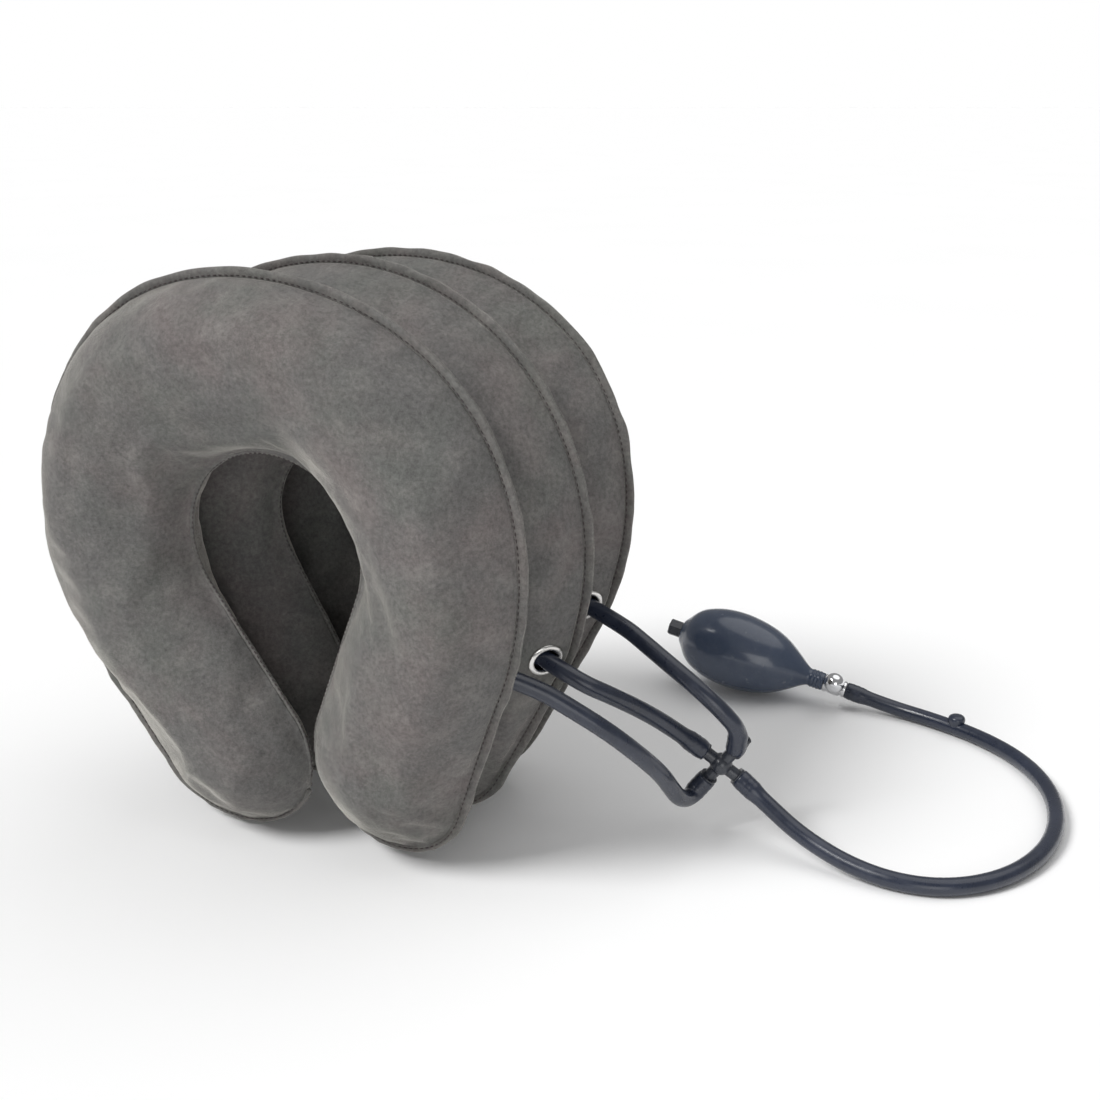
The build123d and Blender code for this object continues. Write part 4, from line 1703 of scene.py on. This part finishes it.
@dataclass
class ReleaseValve:
    """The metal release valve between the bulb and the main hose."""

    finishes: Finishes
    frame: dict[str, object]

    def build(self) -> list[bpy.types.Object]:
        """Turn the valve's body, boss and knob, and dress its inner parts.

        Returns:
            The pieces.
        """
        half = np.array(
            [
                (51.0, 3.3), (51.0, 5.0), (51.6, 5.45), (53.2, 5.45), (53.6, 5.0), (54.4, 4.9),
                (54.9, 5.4), (61.2, 5.4), (61.7, 4.7), (62.4, 4.5), (62.8, 4.9), (64.3, 4.9),
                (65.0, 4.3), (65.0, 1.6),
            ]
        ) * 1e-3
        outline = soften(half, 0.0005)
        loop = np.vstack([outline, np.array([[0.0652, 0.00158], [0.0508, 0.00158]])])
        body = lathe("valve_metal_body", loop, BULB_CENTRE, BULB_AXIS, 96, ring=True)
        place(body, self.finishes.chrome, "middle_tier", ("release_valve_body",))
        collar = np.array(
            [
                (3.0, 1.68), (3.0, 3.9), (4.9, 3.9), (5.1, 3.5), (5.6, 3.5), (5.8, 3.95),
                (6.6, 3.8), (6.6, 1.68),
            ]
        ) * 1e-3
        boss = lathe(
            "valve_boss_nut", soften(collar, 0.0003), VALVE_MIDDLE, KNOB_AXIS, 64, ring=True
        )
        place(boss, self.finishes.chrome, "middle_tier")
        turn = np.linspace(math.radians(-57.0), math.radians(90.0), 40)
        ball = np.stack([0.01264 + 0.006 * np.sin(turn), 0.006 * np.cos(turn)], -1)
        base = np.array([(7.6, 1.62), (7.6, 2.9)]) * 1e-3
        ball[-1, 1] = 0.0
        outline = np.vstack([base, ball])
        knob = lathe(
            "valve_ball_knob", np.vstack([[0.0076, 0.0], outline]), VALVE_MIDDLE, KNOB_AXIS, 72
        )
        place(knob, self.finishes.chrome, "release_knob", ("valve_knob",))
        made = [body, boss, knob]
        for node, finish in (
            ("valve_needle", self.finishes.chrome),
            ("outlet_disc_retainer", self.finishes.chrome),
            ("outlet_check_disc", self.finishes.disc),
            ("valve_o_ring", self.finishes.disc),
        ):
            made.append(dress(self.frame["nodes"][node], finish))
        return made


# ---------------------------------------------------------------- studio


@dataclass
class Studio:
    """Pale floor, soft lights and the camera."""

    camera_at: Point = (0.3065, -0.6315, 0.3479)
    azimuth: float = 23.456
    pitch: float = 18.159
    lens: float = 45.15

    def build(self) -> None:
        """Build the floor, the lights and the camera."""
        self.floor()
        self.lights()
        self.camera()

    def floor(self) -> None:
        """Pale flat floor that runs on to the horizon."""
        x, y = np.linspace(-40.0, 40.0, 40), np.linspace(-6.0, 90.0, 48)
        points = np.zeros((len(y), len(x), 3))
        points[..., 0], points[..., 1], points[..., 2] = x, y[:, None], -0.0001
        floor = make_piece(
            "studio_floor", points, grid_faces(len(y), len(x))[:, ::-1], turn_out=False
        )
        made = bpy.data.materials.new("studio_paper")
        made.use_nodes = True
        graph = Graph(made.node_tree)
        shader = made.node_tree.nodes["Principled BSDF"]
        shader.inputs["Specular IOR Level"].default_value = 0.0
        where = graph.node("TexCoord").outputs["Object"]
        ramp = graph.node("ValToRGB")
        ramp.color_ramp.elements[0].color = (0.925, 0.925, 0.925, 1.0)
        ramp.color_ramp.elements[1].color = (0.95, 0.95, 0.95, 1.0)
        graph.join(graph.noise(where, 3.0, 3.0), ramp.inputs["Fac"])
        graph.join(ramp.outputs["Color"], shader.inputs["Base Color"])
        shader.inputs["Roughness"].default_value = 0.95
        floor.data.materials.append(made)

    def area(self, name: str, at: Point, aim: Point, size: float, power: float) -> None:
        """Soft square light.

        Args:
            name: its name.
            at: where it is.
            aim: the point it faces.
            size: its side.
            power: its power in watts.
        """
        light = bpy.data.lights.new(name, "AREA")
        light.size, light.energy = size, power
        lamp = bpy.data.objects.new(name, light)
        bpy.context.scene.collection.objects.link(lamp)
        lamp.location = at
        way = Vector(aim) - Vector(at)
        lamp.rotation_euler = way.to_track_quat("-Z", "Y").to_euler()

    def sun(self, name: str, way: Point, spread: float, power: float) -> None:
        """Distant light with soft shadows.

        Args:
            name: its name.
            way: direction towards it.
            spread: how wide it looks, in degrees.
            power: its strength.
        """
        light = bpy.data.lights.new(name, "SUN")
        light.angle, light.energy = math.radians(spread), power
        lamp = bpy.data.objects.new(name, light)
        bpy.context.scene.collection.objects.link(lamp)
        lamp.rotation_euler = (-Vector(way)).to_track_quat("-Z", "Y").to_euler()

    def lights(self) -> None:
        """Key from the upper left, a broad top light and a weak fill, in a pale surround.

        The surround is white where the camera sees it and weaker where it lights the object.
        """
        self.sun("key_light", (-0.55, -0.62, 0.85), 22.0, 2.35)
        self.sun("top_light", (0.25, 0.25, 1.0), 60.0, 0.8)
        self.area("fill_light", (0.9, -1.4, 0.35), (0.0, 0.0, 0.06), 0.9, 4.5)
        world = bpy.data.worlds.new("studio_surround")
        world.use_nodes = True
        graph = Graph(world.node_tree)
        ground = world.node_tree.nodes["Background"]
        ground.inputs["Color"].default_value = (1.0, 1.0, 1.0, 1.0)
        seen = graph.node("LightPath").outputs["Is Camera Ray"]
        graph.join(graph.remap(seen, 0.0, 1.0, 0.29, 1.0), ground.inputs["Strength"])
        bpy.context.scene.world = world
        bpy.context.scene.view_settings.view_transform = "Standard"

    def camera(self) -> None:
        """Camera at the viewing angle, looking down its azimuth and pitch."""
        data = bpy.data.cameras.new("camera")
        data.lens, data.sensor_width = self.lens, 36.0
        data.clip_start, data.clip_end = 0.01, 50.0
        camera = bpy.data.objects.new("camera", data)
        bpy.context.scene.collection.objects.link(camera)
        turn, fall = math.radians(self.azimuth), math.radians(self.pitch)
        way = Vector(
            (-math.sin(turn) * math.cos(fall), math.cos(turn) * math.cos(fall), -math.sin(fall))
        )
        camera.location = self.camera_at
        camera.rotation_euler = way.to_track_quat("-Z", "Y").to_euler()
        bpy.context.scene.camera = camera


TIER_SHAPES = (
    TierShape(
        "front", -0.1311, -0.0577, (0.034, 0.0437), Side.REAR, 27.0, 11,
        (
            (0.5, -1.1, -11.2, -3.6, 1.0, 0.8, 6.6, 9.9),
            (6.0, 7.7, -1.3, -2.4, -0.7, -2.7, -2.3, 3.7),
        ),
    ),
    TierShape(
        "middle", -0.0756, 0.0297, (0.0437, 0.0190), Side.FRONT, 23.0, 37,
        ((9.1, 1.0, -5.2, -8.7, 5.3, -3.8, 0.0, 0.0), (-0.4, -3.5, -1.9, 1.7, 4.4, 3.7, 0.0, 0.0)),
    ),
    TierShape(
        "rear", -0.0201, 0.0680, (0.0190, 0.0200), Side.FRONT, 22.0, 71,
        ((9.0, 0.7, -1.1, -10.0, 3.7, -6.0, 0.0, 0.0), (0.9, -0.3, -0.4, 4.9, 0.3, -2.6, 0.0, 0.0)),
    ),
)


HOSE_EXITS = {
    "front": (0.075, -0.115, 0.098),
    "middle": (0.085, -0.089, 0.092),
    "rear": (0.088, -0.038, 0.102),
}


def hose_seat(shape: TierShape) -> tuple[Array, Array]:
    """Where a branch hose starts inside its eyelet, and the direction in which it leaves.

    Args:
        shape: the tier.

    Returns:
        The start and the direction.
    """
    seat = EyeletSeat.on(shape)
    middle = seat.middle - seat.axis * 0.0010
    way = unit(np.array(HOSE_EXITS[shape.name]) - middle)
    return middle - way * 0.0054, way


def hose_routes() -> tuple[HoseRoute, ...]:
    """Control points of the four hoses, in metres.

    Returns:
        The routes.
    """
    starts = {shape.name: tuple(hose_seat(shape)[0]) for shape in TIER_SHAPES}
    exits = HOSE_EXITS
    heading, pitch = math.radians(10.0), math.radians(36.87)
    main = np.array(
        [
            math.cos(pitch) * math.cos(heading),
            math.sin(heading),
            -math.sin(pitch) * math.cos(heading),
        ]
    )
    side = np.array([math.sin(pitch), 0.0, math.cos(pitch)])
    centre = np.array([0.142, -0.0433, 0.040])
    valve_end = tuple(BULB_CENTRE + BULB_AXIS * 0.065)
    front = (
        starts["front"],
        exits["front"],
        (0.091, -0.110, 0.088),
        (0.107, -0.103, 0.076),
        (0.119, -0.091, 0.060),
        (0.124, -0.079, 0.047),
        (0.1255, -0.070, 0.0365),
        (0.1265, -0.0625, 0.0285),
        (0.1275, -0.0555, 0.0238),
        (0.1288, -0.0490, 0.0222),
        (0.1310, -0.0445, 0.0255),
        tuple(centre - side * 0.011),
    )
    middle = (
        starts["middle"],
        exits["middle"],
        (0.098, -0.079, 0.083),
        (0.110, -0.065, 0.071),
        (0.121, -0.053, 0.0585),
        tuple(centre - main * 0.011),
    )
    rear = (
        starts["rear"],
        exits["rear"],
        (0.102, -0.044, 0.0965),
        (0.117, -0.049, 0.0895),
        (0.131, -0.052, 0.082),
        (0.143, -0.0515, 0.0725),
        (0.1525, -0.0465, 0.0595),
        tuple(centre + side * 0.011),
    )
    long = (
        tuple(centre + main * 0.011),
        (0.165, -0.043, 0.0233),
        (0.184, -0.048, 0.0126),
        (0.2085, -0.055, 0.0063),
        (0.233, -0.0585, 0.0045),
        (0.2565, -0.053, 0.0045),
        (0.2775, -0.0345, 0.0045),
        (0.2915, -0.006, 0.0045),
        (0.296, 0.0275, 0.0045),
        (0.290, 0.063, 0.0045),
        (0.273, 0.0935, 0.0045),
        (0.248, 0.1145, 0.0045),
        (0.219, 0.1275, 0.0045),
        (0.194, 0.1335, 0.0053),
        valve_end,
    )
    return (
        HoseRoute("front", front, False, True, "object"),
        HoseRoute("middle", middle, False, True, "object"),
        HoseRoute("rear", rear, False, True, "object"),
        HoseRoute("main", long, True, True, "object"),
    )


def main() -> None:
    """Load the frame and build every sub-assembly in order."""
    logging.basicConfig(level=logging.INFO, format="%(message)s")
    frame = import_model()
    finishes = Finishes()
    Studio().build()
    HoseFittings(finishes, frame).build()
    Hoses(hose_routes(), finishes).build()
    SqueezeBulb(finishes, frame).build()
    ReleaseValve(finishes, frame).build()
    for shape in TIER_SHAPES:
        pieces = Tier(shape, finishes).build()
        log.info("%s tier: %d pieces", shape.name, len(pieces))
    JoiningBands(TIER_SHAPES[1], finishes).build()
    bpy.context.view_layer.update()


if __name__ == "__main__":
    main()
